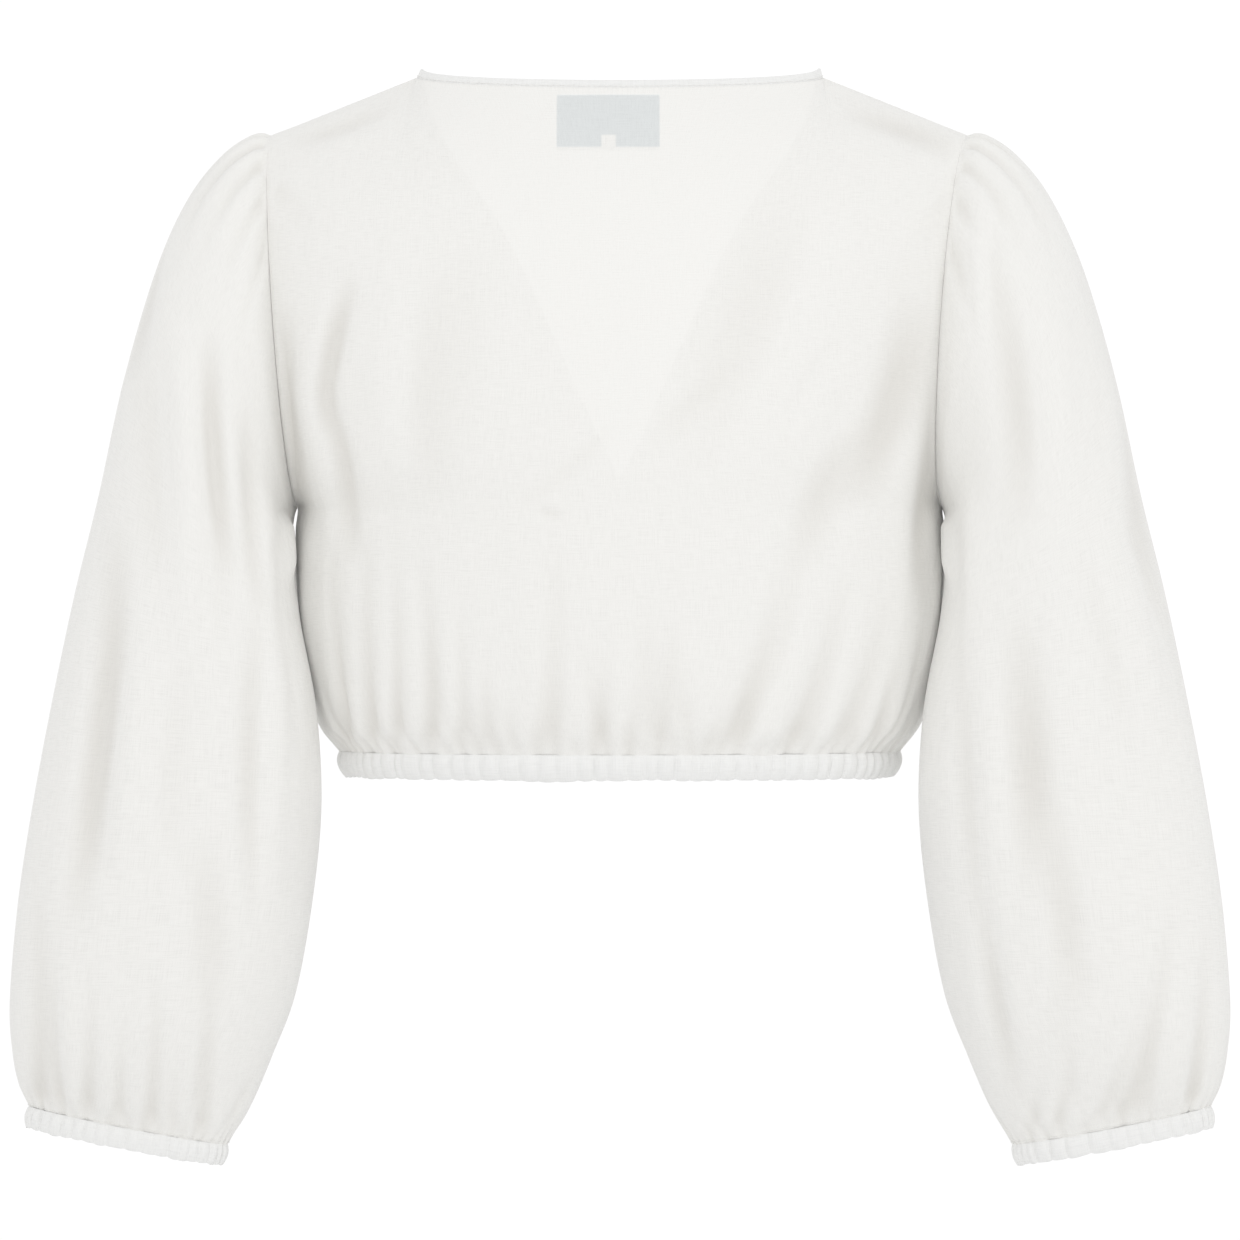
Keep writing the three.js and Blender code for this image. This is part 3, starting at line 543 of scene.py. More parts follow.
# label and size tab, in mm: they lie against the back, which lets them show through
labelSettings = {
    "width": 57, "height": 31, "thickness": 0.5,
    "centreX": -6.5, "top": 0.5, "gap": 1.5, "hang": 1.6, "ripple": 0.15,
}
tabSettings = {
    "width": 8, "height": 9, "thickness": 0.35,
    "centreX": -6.2, "top": -23, "gap": 1.4, "hang": 0, "ripple": 0.15,
}


def placeBehind(sizes, wider, longer):
    return {
        "centreX": sizes["centreX"] * mm,
        "centreZ": (sizes["top"] - (sizes["height"] + longer) / 2) * mm,
        "width": (sizes["width"] + wider) * mm,
        "height": (sizes["height"] + longer) * mm,
    }


labelMasks = (placeBehind(labelSettings, 0.5, 0.5), placeBehind(tabSettings, 1, 2))
backCotton = makeCloth("backCotton", clothLook, labelMasks)
doubledCotton = makeCloth("doubledCotton", doubledLook)
labelSatin = makeCloth("labelSatin", labelLook)
tabSatin = makeCloth("tabSatin", tabLook)
sewingThread = makeCloth("sewingThread", threadLook)
print("materials ready")

# the hem's casing, whose gathers run on into the panels
hemRing = {
    "length": 804, "height": 14.4, "puff": 1.7, "depth": 2.8, "tuck": 4.2,
    "spacing": 8.6, "fold": 1.5, "wave": 0.7, "reach": (13, 150), "deep": (0.5, 1.9),
}
hemGathers = makeGathers(11, hemRing["spacing"], hemRing["length"], hemRing["reach"], hemRing["deep"])


def hemPlace(face, u):  # distance round the hem, back from left to right and then the front
    quarter = hemRing["length"] / 4
    return quarter * (1 + u) if face < 0 else quarter * (3 - u)


# panels
# creases: x0, z0, x1, z1, bow, width, depth, where it fades
backCreases = [
    (-186, -112, -172, -250, 5, 8.0, -3.2, "both"),
    (-146, -100, -166, -198, 4, 6.0, -3.4, "both"),
    (-168, -150, -148, -262, -6, 6.0, -3.0, "both"),
    (-151, -366, -156, -245, -2, 4.5, -2.8, "start"),
    (-137, -366, -137, -215, -3, 4.5, -3.4, "start"),
    (-124, -366, -125, -228, 2, 4.0, -2.8, "start"),
    (-104, -366, -110, -232, 3, 5.0, -3.4, "start"),
    (-86, -366, -90, -262, 1, 5.0, -2.4, "start"),
    (-73, -366, -75, -290, 0, 4.0, -1.9, "start"),
    (-58, -366, -60, -330, 0, 3.5, -1.3, "start"),
    (-41, -366, -37, -225, 3, 6.0, -2.0, "start"),
    (-10, -366, -8, -285, 0, 5.0, -1.8, "start"),
    (4, -366, 8, -318, 0, 3.5, -1.3, "start"),
    (24, -366, 11, -270, -3, 5.5, -1.9, "start"),
    (46, -366, 60, -310, 2, 4.5, -1.6, "start"),
    (62, -366, 92, -232, 5, 8.0, -3.0, "start"),
    (91, -366, 128, -232, 6, 7.0, -2.8, "start"),
    (120, -366, 150, -262, 4, 6.0, -2.8, "start"),
    (139, -366, 158, -288, 2, 4.5, -2.4, "start"),
    (76, -366, 104, -268, 4, 10.0, 2.0, "start"),
    (-46, -229, -30, -233, 1, 3.0, -1.1, "both"),
    (-60, -232, 2, -178, 3, 6.0, -0.5, "both"),
    (14, -200, 66, -150, -3, 6.0, -0.5, "both"),
    (122, -132, 90, -190, 3, 6.0, -1.5, "both"),
    (130, -176, 100, -268, 5, 11.0, -1.8, "both"),
    (166, -110, 122, -238, -7, 13.0, -3.4, "both"),
    (178, -150, 167, -290, 3, 7.0, -3.2, "both"),
    (136, -60, 62, -232, -6, 16.0, 2.0, "both"),
    (92, -40, 24, -205, -5, 18.0, -0.7, "both"),
    (-76, -70, -104, -235, 5, 20.0, -0.6, "both"),
    (-124, -90, -128, -230, 5, 12.0, 2.0, "both"),
    (120, -2, 192, -30, -2, 9.0, -2.4, "both"),
    (-188, -25, -122, 1, 3, 5.5, -1.6, "both"),
    (-190, -50, -158, -84, 2, 6.0, -0.8, "start"),
    (190, -52, 156, -82, -2, 7.0, -1.0, "start"),
]
frontCreases = [
    (-152, -366, -157, -250, 2, 5.5, -2.4, "start"),
    (-120, -366, -113, -222, -3, 6.0, -3.2, "start"),
    (-86, -366, -78, -238, 2, 6.0, -2.6, "start"),
    (-62, -366, -60, -310, 0, 4.5, -1.7, "start"),
    (-48, -366, -41, -262, 2, 5.5, -2.1, "start"),
    (-14, -366, -9, -255, -1, 5.5, -1.9, "start"),
    (27, -366, 30, -268, 2, 6.5, -2.2, "start"),
    (63, -366, 58, -232, 2, 5.5, -2.8, "start"),
    (80, -366, 84, -306, 0, 4.5, -1.6, "start"),
    (98, -366, 102, -244, -2, 6.5, -3.0, "start"),
    (134, -366, 146, -228, 2, 6.0, -2.6, "start"),
    (-178, -90, -138, -172, -4, 9.0, -2.4, "both"),
    (-160, -110, -128, -240, 6, 10.0, -2.8, "both"),
    (178, -94, 136, -180, 4, 9.0, -2.3, "both"),
    (158, -115, 120, -245, -7, 11.0, -3.0, "both"),
    (-100, -60, -62, -190, 4, 14.0, -1.8, "both"),
    (104, -64, 70, -195, -5, 14.0, -1.8, "both"),
]
panelSettings = {
    "columns": 300, "rows": 210, "crowding": (1.35, 0.6),  # rows lie closer to each other near the hem
    "seamDip": 0.25, "seamWidth": 1.6, "intoSeam": 1.0,  # the furrow along each seam
    "sideFade": 0.05, "topFade": 0.07, "hemFade": 14,  # folds run out towards the seams
    "gathersOnShoulder": 0.1, "creasesInHem": 0.15, "flatSide": (0.86, 0.93),
}

# under the arms the sides and the sleeves come nearer to each other than in the solids, in mm and degrees
sideGap = {
    "body": 1.0, "bodyEdge": 2.0, "bodyEdgePlace": 0.83, "bodyEdgeWidth": 0.055, "bodyEdgeBack": 0.6,
    "sleeve": 1.2, "sleeveEdge": 5.0, "sleeveEdgePlace": 130, "sleeveEdgeWidth": 12,
    "fold": 4.6, "foldPlace": 160, "foldWidth": 9,
    "clear": 1.1, "clearPlace": 292, "clearWidth": 19,  # where the sleeve keeps away from the back
    "seamTop": (227, 238), "seamEnd": (-275, -255), "edgeTop": (206, 250), "edgeEnd": (-385, -282),
}


def gapShare(z):
    return smooth(-z, *sideGap["seamTop"]) * smooth(z, *sideGap["seamEnd"])


def sideShare(z):
    return smooth(-z, *sideGap["edgeTop"]) * smooth(z, *sideGap["edgeEnd"])


def longer(points, last, before, reach):  # carries an edge on, into the seam that it meets
    step = points[last] - points[before]
    points[last] += reach * step / np.linalg.norm(step, axis=-1, keepdims=True)


def panelPoints(face, settings):
    across = np.linspace(-1, 1, settings["columns"] + 1)
    across[np.argmin(np.abs(across - shoulder["neckShare"]))] = shoulder["neckShare"]
    across[np.argmin(np.abs(across + shoulder["neckShare"]))] = -shoulder["neckShare"]
    share = np.linspace(0, 1, settings["rows"] + 1)
    power, part = settings["crowding"]
    share = mix(share, share**power, part)
    rows = share[:, None] * upperRow(face, np.abs(across))[None, :]
    plain = bodyPoint(face, across[None, :], rows)
    near = gapShare(plain[..., 2])
    plain[..., 0] += np.sign(across) * np.abs(across) ** 6 * sideGap["body"] * near
    if face < 0:
        fromEdge = (np.abs(across) - sideGap["bodyEdgePlace"]) / sideGap["bodyEdgeWidth"]
        edge = np.exp(-(fromEdge**2)) * sideGap["bodyEdge"] * sideShare(plain[..., 2])
        plain[..., 0] += np.sign(across) * edge
        plain[..., 1] -= sideGap["bodyEdgeBack"] * edge
    normals = gridNormals(plain, False) * -face
    rise = np.clip(plain[..., 2] - bodyTable["backZ"][0], 0, None)
    place = np.broadcast_to(hemPlace(face, across)[None, :], rise.shape)
    gathers = gatherField(place, rise, hemGathers, hemRing["length"])
    creases = creaseField(plain, backCreases if face < 0 else frontCreases)
    nearSide = smooth(1 - np.abs(across), 0, settings["sideFade"])[None, :]
    nearTop = smooth(1 - share, 0, settings["topFade"])[:, None]
    fade = nearSide * nearTop * mix(settings["creasesInHem"], 1, smooth(rise, 0, settings["hemFade"]))
    depth = gathers * mix(settings["gathersOnShoulder"], 1, nearTop) + creases * fade
    # no fold stands out where the sleeve lies close
    depth -= np.clip(depth, 0, None) * smooth(np.abs(across), *settings["flatSide"])[None, :]
    # painted shade for the folds, by how deep each point lies
    foldShade = foldShadeShare(depth)
    # the seams at side, armhole and shoulder lie in a shallow furrow
    edge = np.linalg.norm(plain - plain[:, :1], axis=-1)
    edge = np.minimum(edge, np.linalg.norm(plain - plain[:, -1:], axis=-1))
    depth -= settings["seamDip"] * np.exp(-((edge / settings["seamWidth"]) ** 2))
    onShoulder = (np.abs(across) >= shoulder["neckShare"])[None, :]
    fromTop = np.linalg.norm(plain - plain[-1:], axis=-1)
    depth -= onShoulder * settings["seamDip"] * np.exp(-((fromTop / settings["seamWidth"]) ** 2))
    shown = plain + normals * depth[..., None]
    longer(shown, 0, 1, settings["intoSeam"])
    return shown, foldShade, normals


def surfaceArea(points):  # in square metres
    a = np.cross(points[1:, 1:] - points[:-1, :-1], points[1:, :-1] - points[:-1, 1:])
    return 0.5 * np.linalg.norm(a, axis=-1).sum() * 1e-6


panelGrids = {}
for face, name in ((-1, "back"), (1, "front")):
    points, foldShade, normals = panelPoints(face, panelSettings)
    panelGrids[face] = (points, normals)
    area = surfaceArea(points)
    obj = gridMesh(name + "Cloth", points, uv=(0.5, 0.42), foldShade=foldShade)
    finishPiece(obj, backCotton if face < 0 else sheerCotton, "cloth", name)
    print(name, "area", round(area, 4))

# sleeves
# creases on the side that looks to the back, then on the side that looks to the front
sleeveCreases = {
    (-1, -1): [
        (-258, -60, -275, -160, -3, 7.0, -2.4, "both"),
        (-246, -112, -237, -310, -4, 9.0, 3.2, "both"),
        (-226, -130, -211, -272, 3, 6.0, -3.4, "both"),
        (-206, -165, -196, -290, 2, 5.0, -2.6, "both"),
        (-197, -280, -198, -468, 3, 6.0, -2.0, "both"),
        (-184, -280, -190, -460, 2, 9.0, 2.6, "both"),
        (-276, -230, -301, -465, -6, 9.0, -3.4, "both"),
        (-258, -300, -268, -440, 5, 11.0, 2.2, "both"),
        (-320, -566, -321, -400, 2, 6.0, -4.0, "start"),
        (-308, -566, -306, -440, -3, 4.0, -3.2, "start"),
        (-228, -400, -226, -510, -3, 11.0, -1.2, "both"),
        (-294, -566, -290, -470, 2, 4.5, -2.6, "start"),
        (-276, -568, -272, -496, 0, 4.0, -2.4, "start"),
        (-258, -570, -254, -462, 2, 4.5, -3.0, "start"),
        (-246, -574, -240, -505, -2, 4.0, -2.2, "start"),
        (-232, -576, -224, -478, 3, 4.5, -2.8, "start"),
    ],
    (-1, 1): [
        (199, -45, 197, -140, 1, 5.0, 2.0, "both"),
        (207, -95, 220, -245, -4, 9.0, -1.7, "both"),
        (232, -80, 240, -250, -5, 12.0, 2.4, "both"),
        (272, -108, 297, -245, -4, 8.0, -2.6, "both"),
        (188, -290, 198, -470, 3, 6.0, -1.6, "both"),
        (198, -440, 220, -556, 3, 5.5, -2.0, "both"),
        (218, -280, 250, -510, 6, 12.0, -3.4, "both"),
        (272, -240, 297, -360, -4, 10.0, 2.4, "both"),
        (232, -360, 236, -500, 3, 9.0, 1.8, "both"),
        (274, -574, 303, -432, 5, 6.0, -4.2, "start"),
        (314, -564, 322, -446, 2, 4.5, -3.4, "start"),
        (259, -576, 290, -462, 4, 5.0, -3.0, "start"),
        (288, -570, 296, -500, 0, 4.0, -2.4, "start"),
        (238, -582, 248, -516, 1, 4.0, -2.6, "start"),
        (226, -584, 232, -530, 0, 3.5, -2.0, "start"),
        (284, -150, 302, -330, 6, 9.0, -2.0, "both"),
    ],
    (1, -1): [
        (-248, -80, -272, -330, -8, 12.0, -3.2, "both"),
        (-214, -110, -226, -300, 5, 10.0, -2.8, "both"),
        (-300, -562, -296, -410, 5, 7.0, -4.2, "start"),
        (-272, -566, -268, -440, -3, 6.0, -3.4, "start"),
        (-246, -570, -236, -470, 3, 6.0, -3.0, "start"),
        (-200, -300, -222, -520, -6, 10.0, -3.0, "both"),
        (-280, -300, -300, -480, 6, 15.0, 2.0, "both"),
    ],
    (1, 1): [
        (250, -84, 276, -320, 8, 12.0, -3.0, "both"),
        (216, -110, 224, -290, -5, 10.0, -3.0, "both"),
        (304, -560, 298, -420, -5, 7.0, -4.0, "start"),
        (278, -566, 270, -430, 3, 6.5, -3.6, "start"),
        (250, -570, 240, -460, -3, 6.0, -3.0, "start"),
        (202, -310, 226, -525, 6, 10.0, -3.2, "both"),
        (284, -290, 304, -470, -6, 15.0, 2.0, "both"),
    ],
}
sleeveSettings = {
    "columns": 300, "rows": 300, "crowding": 24, "crowdedRows": 7,  # columns crowd over the head, degrees
    "seamDip": 0.25, "seamWidth": 1.6, "intoArmhole": 0.5, "intoCuff": 1.0,
    "sideFade": 0.35, "headFade": 16, "cuffFade": 14, "creasesInCuff": 0.15,
    "tuckStart": 5, "tuckLip": 0.5, "lipPlace": 1.9, "tuckFan": 120,
    "flatAngles": (138, 152, 218, 232), "flatEnd": (-365, -345),
}
# the cuffs' casings, whose gathers run on into the sleeves
cuffRing = {
    "length": 252, "height": 12, "puff": 1.4, "depth": 2.6, "tuck": 1.2,
    "spacing": 6.2, "fold": 1.15, "wave": 0.6, "reach": (9, 90), "deep": (0.5, 1.6),
}
cuffGathers = {
    side: makeGathers(21 + side, cuffRing["spacing"], cuffRing["length"], cuffRing["reach"], cuffRing["deep"])
    for side in (-1, 1)
}
# tucks of the sleeve head: angle from the top, how far they run, width and depth
headTucks = [
    (-62, 30, 3.4, 1.5),
    (-44, 46, 3.0, 2.0),
    (-29, 52, 2.8, 2.4),
    (-15, 40, 2.6, 2.2),
    (-3, 34, 2.4, 2.0),
    (9, 44, 2.6, 2.4),
    (21, 56, 2.8, 2.2),
    (35, 40, 3.0, 2.2),
    (51, 34, 3.2, 1.6),
    (68, 26, 3.6, 1.2),
]


def sleevePoints(side, settings):
    turn = np.linspace(0, 360, settings["columns"], endpoint=False)
    head = turn - settings["crowding"] * np.sin(np.radians(turn))
    row = lastSleeveRow * np.linspace(0, 1, settings["rows"] + 1)
    angle = mix(head[None, :], turn[None, :], np.clip(row / settings["crowdedRows"], 0, 1)[:, None])
    plain = sleevePoint(side, angle, row[:, None])
    inner = np.clip(-np.cos(np.radians(angle)), 0, 1) ** 2
    fromEdge = (angle - sideGap["sleeveEdgePlace"]) / sideGap["sleeveEdgeWidth"]
    fromFold = (angle - sideGap["foldPlace"]) / sideGap["foldWidth"]
    fromClear = (plain[..., 2] + sideGap["clearPlace"]) / sideGap["clearWidth"]
    edge = sideGap["sleeveEdge"] * np.exp(-(fromEdge**2)) * sideShare(plain[..., 2])
    fold = sideGap["fold"] * np.exp(-(fromFold**2))
    clear = sideGap["clear"] * inner * np.exp(-(fromClear**2))
    plain[..., 0] -= side * ((sideGap["sleeve"] * inner + fold) * gapShare(plain[..., 2]) + edge - clear)
    longer(plain, 0, 1, settings["intoArmhole"])
    normals = gridNormals(plain, True) * side
    facesBack = np.sin(np.radians(angle)) > 0
    creases = np.where(
        facesBack,
        creaseField(plain, sleeveCreases[(-1, side)]),
        creaseField(plain, sleeveCreases[(1, side)]),
    ) * smooth(np.abs(np.sin(np.radians(angle))), 0.0, settings["sideFade"])
    steps = np.linalg.norm(np.diff(plain, axis=0), axis=-1)
    fromHead = np.concatenate([np.zeros((1, steps.shape[1])), np.cumsum(steps, 0)])
    toCuff = fromHead[-1:] - fromHead
    place = np.broadcast_to((turn / 360 * cuffRing["length"])[None, :], toCuff.shape)
    gathers = gatherField(place, toCuff, cuffGathers[side], cuffRing["length"])
    tucks = np.zeros(toCuff.shape)
    signed = (angle + 180) % 360 - 180
    for at, reach, width, deep in headTucks:
        drift = 1 + fromHead / settings["tuckFan"]  # they fan out
        d = (signed - at * drift) * 0.9
        trough = np.exp(-((d / (width * drift)) ** 2))
        lip = np.exp(-(((d - settings["lipPlace"] * width) / (width * drift)) ** 2))
        tucks -= deep * np.exp(-((fromHead / reach) ** 2)) * (trough - settings["tuckLip"] * lip)
    tucks *= smooth(fromHead, 0, settings["tuckStart"])  # flat where they are sewn in
    fade = smooth(fromHead, 0, settings["headFade"])
    fade = fade * mix(settings["creasesInCuff"], 1, smooth(toCuff, 0, settings["cuffFade"]))
    depth = creases * fade + gathers + tucks
    # no fold stands out where the sleeve lies close to the body
    start, whole, wholeEnd, end = settings["flatAngles"]
    close = smooth(angle, start, whole) * smooth(end - angle, 0, end - wholeEnd)
    depth -= np.clip(depth, 0, None) * close * smooth(plain[..., 2], *settings["flatEnd"])
    # painted shade for the folds, by how deep each point lies
    foldShade = foldShadeShare(depth)
    depth -= settings["seamDip"] * np.exp(-((fromHead / settings["seamWidth"]) ** 2))
    shown = plain + normals * depth[..., None]
    longer(shown, -1, -2, settings["intoCuff"])
    return shown, foldShade, normals


sleeveGrids = {}
for side, name in ((-1, "sleeve_left"), (1, "sleeve_right")):
    points, foldShade, normals = sleevePoints(side, sleeveSettings)
    sleeveGrids[side] = (points, normals)
    closed = np.concatenate([points, points[:, :1]], 1)
    print(name, "area", round(surfaceArea(closed), 4))
    obj = gridMesh(name.replace("_", "") + "Cloth", points, wraps=True, uv=(0.42, 0.58), foldShade=foldShade)
    finishPiece(obj, sheerCotton, "cloth", name)
print("panels and sleeves ready")


# ruched casings
casingShape = {  # shares: how far down each row lies
    "shares": (0, 0.03, 0.08, 0.16, 0.27, 0.4, 0.54, 0.68, 0.8, 0.89, 0.95, 0.985, 1.0),
    "upperSwell": 1.1, "lowerSwell": 0.55,  # below 1 is fuller
    "unevenTurns": (5, 9, 14, 23), "uneven": 0.25,
    "pinch": 1.35, "leastPinch": 0.55, "pinchSharp": 1.4,
}


def casingPoints(line, down, sizes, gathers, seed, steps):
    length = sizes["length"]
    q = np.arange(steps) / steps
    points = line(q)
    along = np.roll(points, -1, 0) - np.roll(points, 1, 0)
    out = np.cross(down, along)
    out /= np.linalg.norm(out, axis=-1, keepdims=True)
    rng = np.random.default_rng(seed)
    place = q * length
    pinch = np.zeros(steps)
    for k in range(len(gathers["place"])):
        d = place - gathers["place"][k]
        d = (d + length / 2) % length - length / 2
        notch = np.exp(-((np.abs(d) / sizes["fold"]) ** casingShape["pinchSharp"]))
        pinch = np.maximum(pinch, mix(casingShape["leastPinch"], 1.0, rng.random()) * notch)
    uneven = np.zeros(steps)
    for turns in casingShape["unevenTurns"]:
        uneven += np.sin(2 * math.pi * (turns * q + rng.random())) / len(casingShape["unevenTurns"])
    top = gatherField(place, 0 * place, gathers, length)  # meets the valleys of the cloth above
    outer = []
    for share in casingShape["shares"]:
        power = casingShape["upperSwell"] if share < 0.5 else casingShape["lowerSwell"]
        swell = math.sin(math.pi * min(share * 0.97 + 0.02, 1)) ** power
        reach = sizes["puff"] * swell * (1 + casingShape["uneven"] * uneven - casingShape["pinch"] * pinch)
        outer.append(top * (1 - share) ** 2 + reach * smooth(share, 0, 0.1) - sizes["tuck"] * share**2)
    rows = []
    downRows = range(len(outer))
    for inside, order in ((0, downRows), (1, reversed(downRows))):  # down the outside, up the inside
        for k in order:
            share = casingShape["shares"][k]
            rounded = (1 - abs(2 * share - 1) ** 6) ** 0.5 if share > 0.5 else 1
            wave = share**2 * (sizes["wave"] * uneven - 1.1 * sizes["wave"] * pinch)
            across = out * (outer[k] - inside * sizes["depth"] * rounded)[:, None]
            rows.append(points + across + np.asarray(down) * (sizes["height"] * share + wave)[:, None])
    return np.stack(rows[::-1])


def hemLine(q):
    back = bodyPoint(-1, np.clip(4 * q - 1, -1, 1), 0 * q)
    front = bodyPoint(1, np.clip(3 - 4 * q, -1, 1), 0 * q)
    return np.where((q < 0.5)[:, None], back, front)


def cuffLine(side):
    def line(q):
        turn = 360 * (q if side < 0 else 1 - q)
        return sleevePoint(side, turn, np.full(q.shape, float(lastSleeveRow)))
    return line


hemGrid = casingPoints(hemLine, (0, 0, -1), hemRing, hemGathers, 31, 1100)
obj = gridMesh("hemCasing", hemGrid, wraps=True, uv=(0.80, 0.036))
finishPiece(obj, doubledCotton, "cloth", "hem_casing")
print("hem casing area", round(surfaceArea(np.concatenate([hemGrid, hemGrid[:, :1]], 1)), 4))
for side, name in ((-1, "cuff_left"), (1, "cuff_right")):
    gathers = dict(cuffGathers[side])
    if side > 0:
        gathers["place"] = cuffRing["length"] - gathers["place"]
    grid = casingPoints(cuffLine(side), cuffDown(side), cuffRing, gathers, 41 + side, 560)
    obj = gridMesh(name.replace("_", "") + "Casing", grid, wraps=True, uv=(0.25, 0.03))
    finishPiece(obj, doubledCotton, "cloth", name)
    print(name, "area", round(surfaceArea(np.concatenate([grid, grid[:, :1]], 1)), 4))
print("casings ready")

# neck band
bandSettings = {"width": 5.8, "thickness": 1.5, "gap": -0.2, "inset": 0.6}


def neckEdge():  # the edge of the neck with what points out of the cloth and away from it
    parts = []
    for face in (-1, 1):
        points, normals = panelGrids[face]
        u = np.linspace(-1, 1, points.shape[1])
        keep = np.abs(points[-1, :, 0]) <= shoulder["neckX"] + 0.3
        keep &= np.abs(u) <= shoulder["neckShare"] + 0.01
        order = np.where(keep)[0]
        if face > 0:
            order = order[::-1][1:-1]
        parts.append((points[-1, order], normals[-1, order], points[-4, order]))
    return (np.concatenate(part) for part in zip(*parts))


edgeLine, edgeOut, edgeBelow = neckEdge()
nextAlong = np.roll(edgeLine, -1, 0) - np.roll(edgeLine, 1, 0)
edgeAway = np.cross(nextAlong, edgeOut)
edgeAway /= np.linalg.norm(edgeAway, axis=-1, keepdims=True)
edgeAway *= np.sign(np.sum(edgeAway * (edgeLine - edgeBelow), -1, keepdims=True))
for _ in range(3):
    edgeAway = (np.roll(edgeAway, 1, 0) + edgeAway + np.roll(edgeAway, -1, 0))
    edgeAway /= np.linalg.norm(edgeAway, axis=-1, keepdims=True)
profile = []
for a in np.linspace(-0.5, 1.5, 17) * math.pi:  # folded over the edge: up the outside, down the inside
    far = 0.5 * (1 + math.copysign(abs(math.sin(a)) ** 0.5, math.sin(a)))
    thick = math.copysign(abs(math.cos(a)) ** 0.6, math.cos(a))
    profile.append((far, thick))
bandRows = []
for far, thick in profile:
    swell = bandSettings["thickness"] / 2 * thick * (0.75 + 0.5 * far)
    rise = bandSettings["gap"] + far * bandSettings["width"]
    bandRows.append(edgeLine + edgeAway * rise + edgeOut * (swell - bandSettings["inset"]))
bandGrid = np.stack(bandRows)
obj = gridMesh("neckBand", bandGrid, wraps=True, uv=(0.70, 0.015))
finishPiece(obj, doubledCotton, "cloth", "neck_band")
print("neck band area", round(surfaceArea(np.concatenate([bandGrid, bandGrid[:1]])), 4))


# label
def backAt(x, z):  # the point of the back at this x and z, found step by step, and the way out of the cloth
    u, t = x / 180, 0 * x + 9.0
    for _ in range(40):
        p = bodyPoint(-1, u, t)
        u, t = u + (x - p[..., 0]) / 250, t + (z - p[..., 2]) / 60
    across = bodyPoint(-1, u + 0.01, t) - bodyPoint(-1, u - 0.01, t)
    up = bodyPoint(-1, u, t + 0.01) - bodyPoint(-1, u, t - 0.01)
    n = np.cross(across, up)
    return bodyPoint(-1, u, t), n / np.linalg.norm(n, axis=-1, keepdims=True)


def patchGrid(sizes, columns, rows):
    i, j = np.meshgrid(np.linspace(-0.5, 0.5, columns), np.linspace(0, 1, rows))
    point, normal = backAt(sizes["centreX"] + i * sizes["width"], sizes["top"] - j * sizes["height"])
    sag = sizes["gap"] + sizes["hang"] * j + sizes["ripple"] * np.sin(9 * i + 2) * j
    return point - normal * sag[..., None]


def makePatch(name, node, sizes, material, slotName):
    points = patchGrid(sizes, 60, 40)
    obj = gridMesh(name, points, uv=(sizes["width"] * mm, sizes["height"] * mm))
    solid = obj.modifiers.new("thickness", "SOLIDIFY")
    solid.thickness = sizes["thickness"] * mm
    solid.offset = 0
    return finishPiece(obj, material, slotName, node)


sizeTab = makePatch("sizeTab", "size_tab", tabSettings, tabSatin, "tab_cloth")
label = makePatch("neckLabel", "label", labelSettings, labelSatin, "label_cloth")
print("neck band and label ready")


# stitching
def stitchMesh(name, line, out, settings):  # a closed row of short threads lying on a line
    line, out = np.concatenate([line, line[:1]]), np.concatenate([out, out[:1]])
    run = np.concatenate([[0], np.cumsum(np.linalg.norm(np.diff(line, axis=0), axis=-1))])
    pitch = settings["length"] + settings["gap"]
    count = int(run[-1] // pitch)
    rings, sides = 5, 6
    s = np.arange(count)[:, None] * pitch + np.linspace(0, settings["length"], rings)[None, :]
    centre = np.stack([np.interp(s, run, line[:, k]) for k in range(3)], -1)
    lift = np.stack([np.interp(s, run, out[:, k]) for k in range(3)], -1)
    lift /= np.linalg.norm(lift, axis=-1, keepdims=True)
    along = np.gradient(centre, axis=1)
    along /= np.linalg.norm(along, axis=-1, keepdims=True)
    cross = np.cross(along, lift)
    arch = np.sin(np.linspace(0.05, math.pi - 0.05, rings))[None, :, None]  # thin and low at both ends
    a = np.linspace(0, 2 * math.pi, sides, endpoint=False)
    thin = settings["radius"] * (0.45 + 0.55 * arch)
    centre = centre + lift * (settings["radius"] * (1.3 * arch - 0.5))
    upPart = np.cos(a)[None, None, :, None] * lift[:, :, None]
    sidePart = np.sin(a)[None, None, :, None] * cross[:, :, None]
    points = centre[:, :, None] + thin[:, :, None] * (upPart + sidePart)
    base = (np.arange(count) * rings * sides)[:, None, None]
    j, i = np.meshgrid(np.arange(rings - 1), np.arange(sides), indexing="ij")
    low, high, beside = j * sides, (j + 1) * sides, (i + 1) % sides
    quad = np.stack([low + i, low + beside, high + beside, high + i], -1).reshape(1, -1, 4)
    quads = (quad + base).reshape(-1, 4)
    mesh = bpy.data.meshes.new(name)
    mesh.from_pydata((points.reshape(-1, 3) * mm).tolist(), [], quads.tolist())
    mesh.uv_layers.new(name="cloth")
    mesh.polygons.foreach_set("use_smooth", np.ones(len(quads), bool))
    obj = bpy.data.objects.new(name, mesh)
    bpy.context.scene.collection.objects.link(obj)
    return finishPiece(obj, sewingThread, "cloth")


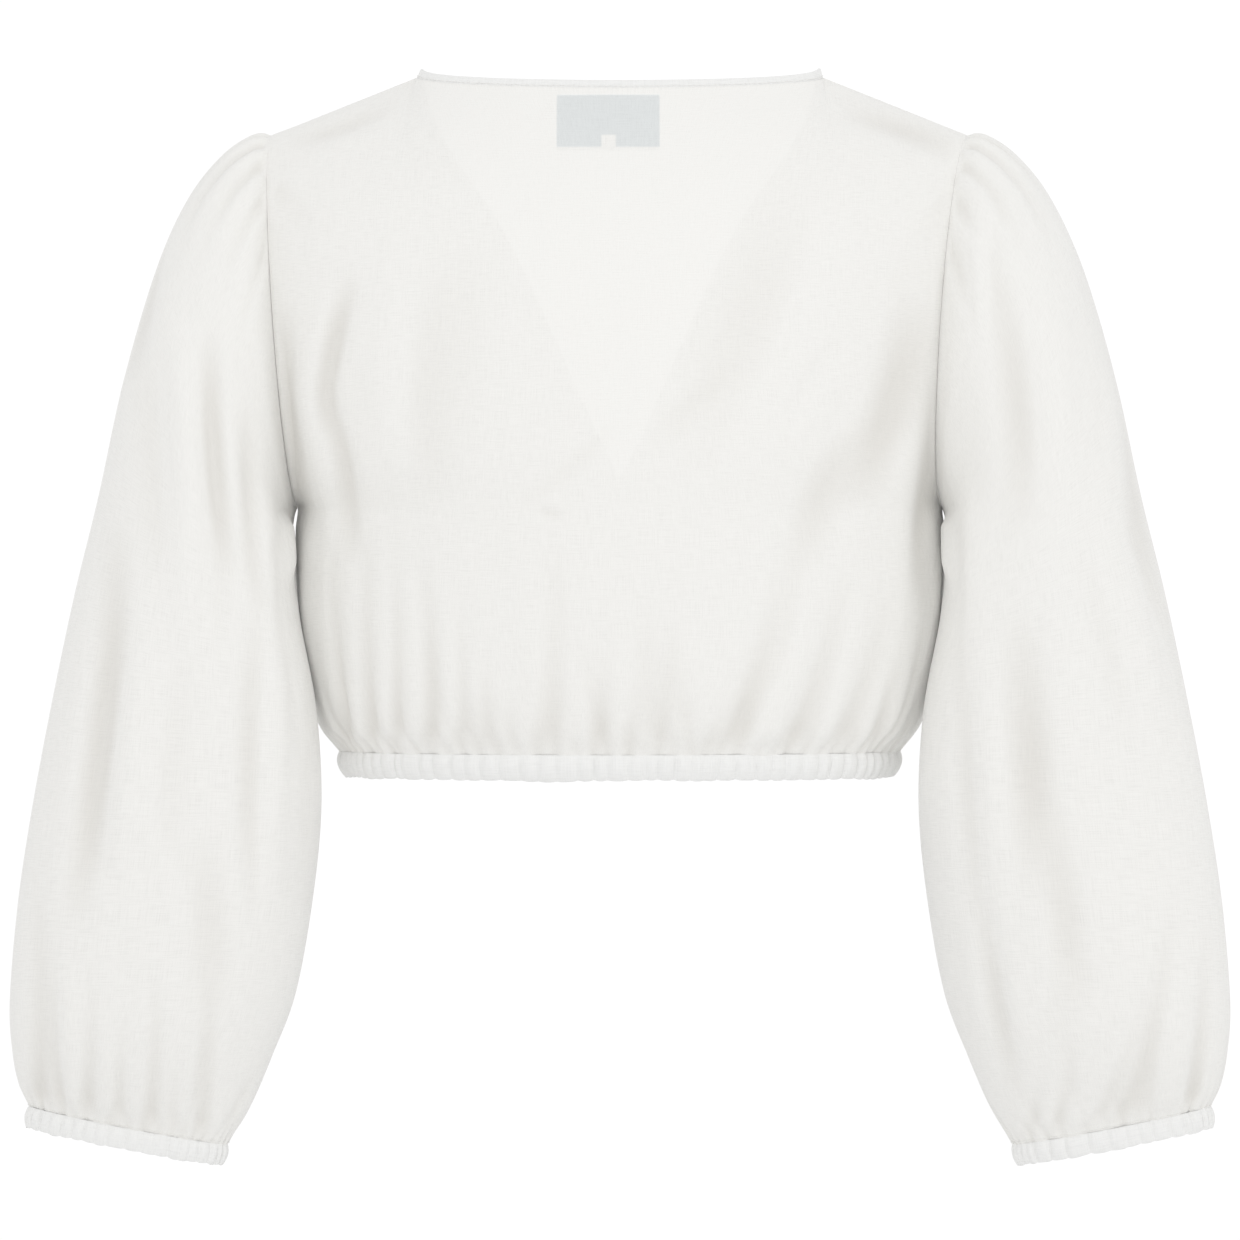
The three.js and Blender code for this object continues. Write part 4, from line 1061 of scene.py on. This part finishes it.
stitchSizes = {
    "length": 2.3, "gap": 0.6, "radius": 0.22,
    "lift": 0.2, "bandLift": 0.25, "overBand": 1.0, "overHem": 2.2,
}
bandStitch = edgeLine + edgeAway * stitchSizes["overBand"] + edgeOut * stitchSizes["bandLift"]
stitchMesh("neckStitching", bandStitch, edgeOut, stitchSizes)
hemTop = np.concatenate([panelGrids[-1][0][0], panelGrids[1][0][0][::-1]])
hemTopOut = np.concatenate([panelGrids[-1][1][0], panelGrids[1][1][0][::-1]])
hemStitch = hemTop + np.array([0, 0, stitchSizes["overHem"]]) + hemTopOut * stitchSizes["lift"]
stitchMesh("hemStitching", hemStitch, hemTopOut, stitchSizes)
for side, word in ((-1, "left"), (1, "right")):
    line, out = (grid[-2] for grid in sleeveGrids[side])
    stitchMesh(word + "CuffStitching", line + out * stitchSizes["lift"], out, stitchSizes)
print("stitching ready")

# floor and light
stageSettings = {"floor": -0.78, "half": 1.2, "colour": (0.92, 0.92, 0.92)}


def makeFloor(settings):  # ends before the photo's frame begins, so only the world shows behind the blouse
    half, level = settings["half"], settings["floor"]
    mesh = bpy.data.meshes.new("paleFloor")
    corners = [(-half, -half, level), (half, -half, level), (half, half, level), (-half, half, level)]
    mesh.from_pydata(corners, [], [(0, 1, 2, 3)])
    obj = bpy.data.objects.new("paleFloor", mesh)
    bpy.context.scene.collection.objects.link(obj)
    material = bpy.data.materials.new("floorPaper")
    material.use_nodes = True
    tree = material.node_tree
    noise = tree.nodes.new("ShaderNodeTexNoise")
    noise.inputs["Scale"].default_value = 3
    ramp = tree.nodes.new("ShaderNodeMapRange")
    ramp.inputs["To Min"].default_value = 0.9
    ramp.inputs["To Max"].default_value = 0.96
    tree.links.new(noise.outputs["Fac"], ramp.inputs["Value"])
    paper = tree.nodes["Principled BSDF"]
    paper.inputs["Base Color"].default_value = (*settings["colour"], 1)
    tree.links.new(ramp.outputs["Result"], paper.inputs["Roughness"])
    mesh.materials.append(material)


def makeSoftbox(name, target, place, size, power):
    data = bpy.data.lights.new(name, "AREA")
    data.shape = "RECTANGLE"
    data.size, data.size_y = size
    data.energy = power
    obj = bpy.data.objects.new(name, data)
    obj.location = place
    obj.rotation_mode = "QUATERNION"
    obj.rotation_quaternion = (Vector(target) - Vector(place)).to_track_quat("-Z", "Y")
    bpy.context.scene.collection.objects.link(obj)


lightSettings = {
    "world": 0.85, "seen": 1.03,  # how bright the surroundings light the blouse, and look behind it
    "target": (0, 0, -0.3),
    "key": {"place": (-0.7, -3.0, 0.7), "size": (1.3, 1.3), "power": 12.5},
    "side": {"place": (2.2, -1.6, 0.3), "size": (1.0, 1.6), "power": 5.5},
}


def makeWorld(settings):
    world = bpy.data.worlds.new("studio")
    world.use_nodes = True
    tree = world.node_tree
    sky = tree.nodes["Background"]
    sky.inputs["Color"].default_value = (1, 1, 1, 1)
    rays = tree.nodes.new("ShaderNodeLightPath")
    more = mathNode(tree, "MULTIPLY", rays.outputs["Is Camera Ray"], settings["seen"] - settings["world"])
    tree.links.new(mathNode(tree, "ADD", more, settings["world"]), sky.inputs["Strength"])
    bpy.context.scene.world = world


makeFloor(stageSettings)
makeWorld(lightSettings)
makeSoftbox("keyLight", lightSettings["target"], **lightSettings["key"])
makeSoftbox("sideLight", lightSettings["target"], **lightSettings["side"])
bpy.context.scene.view_settings.view_transform = "Standard"
print("light ready")
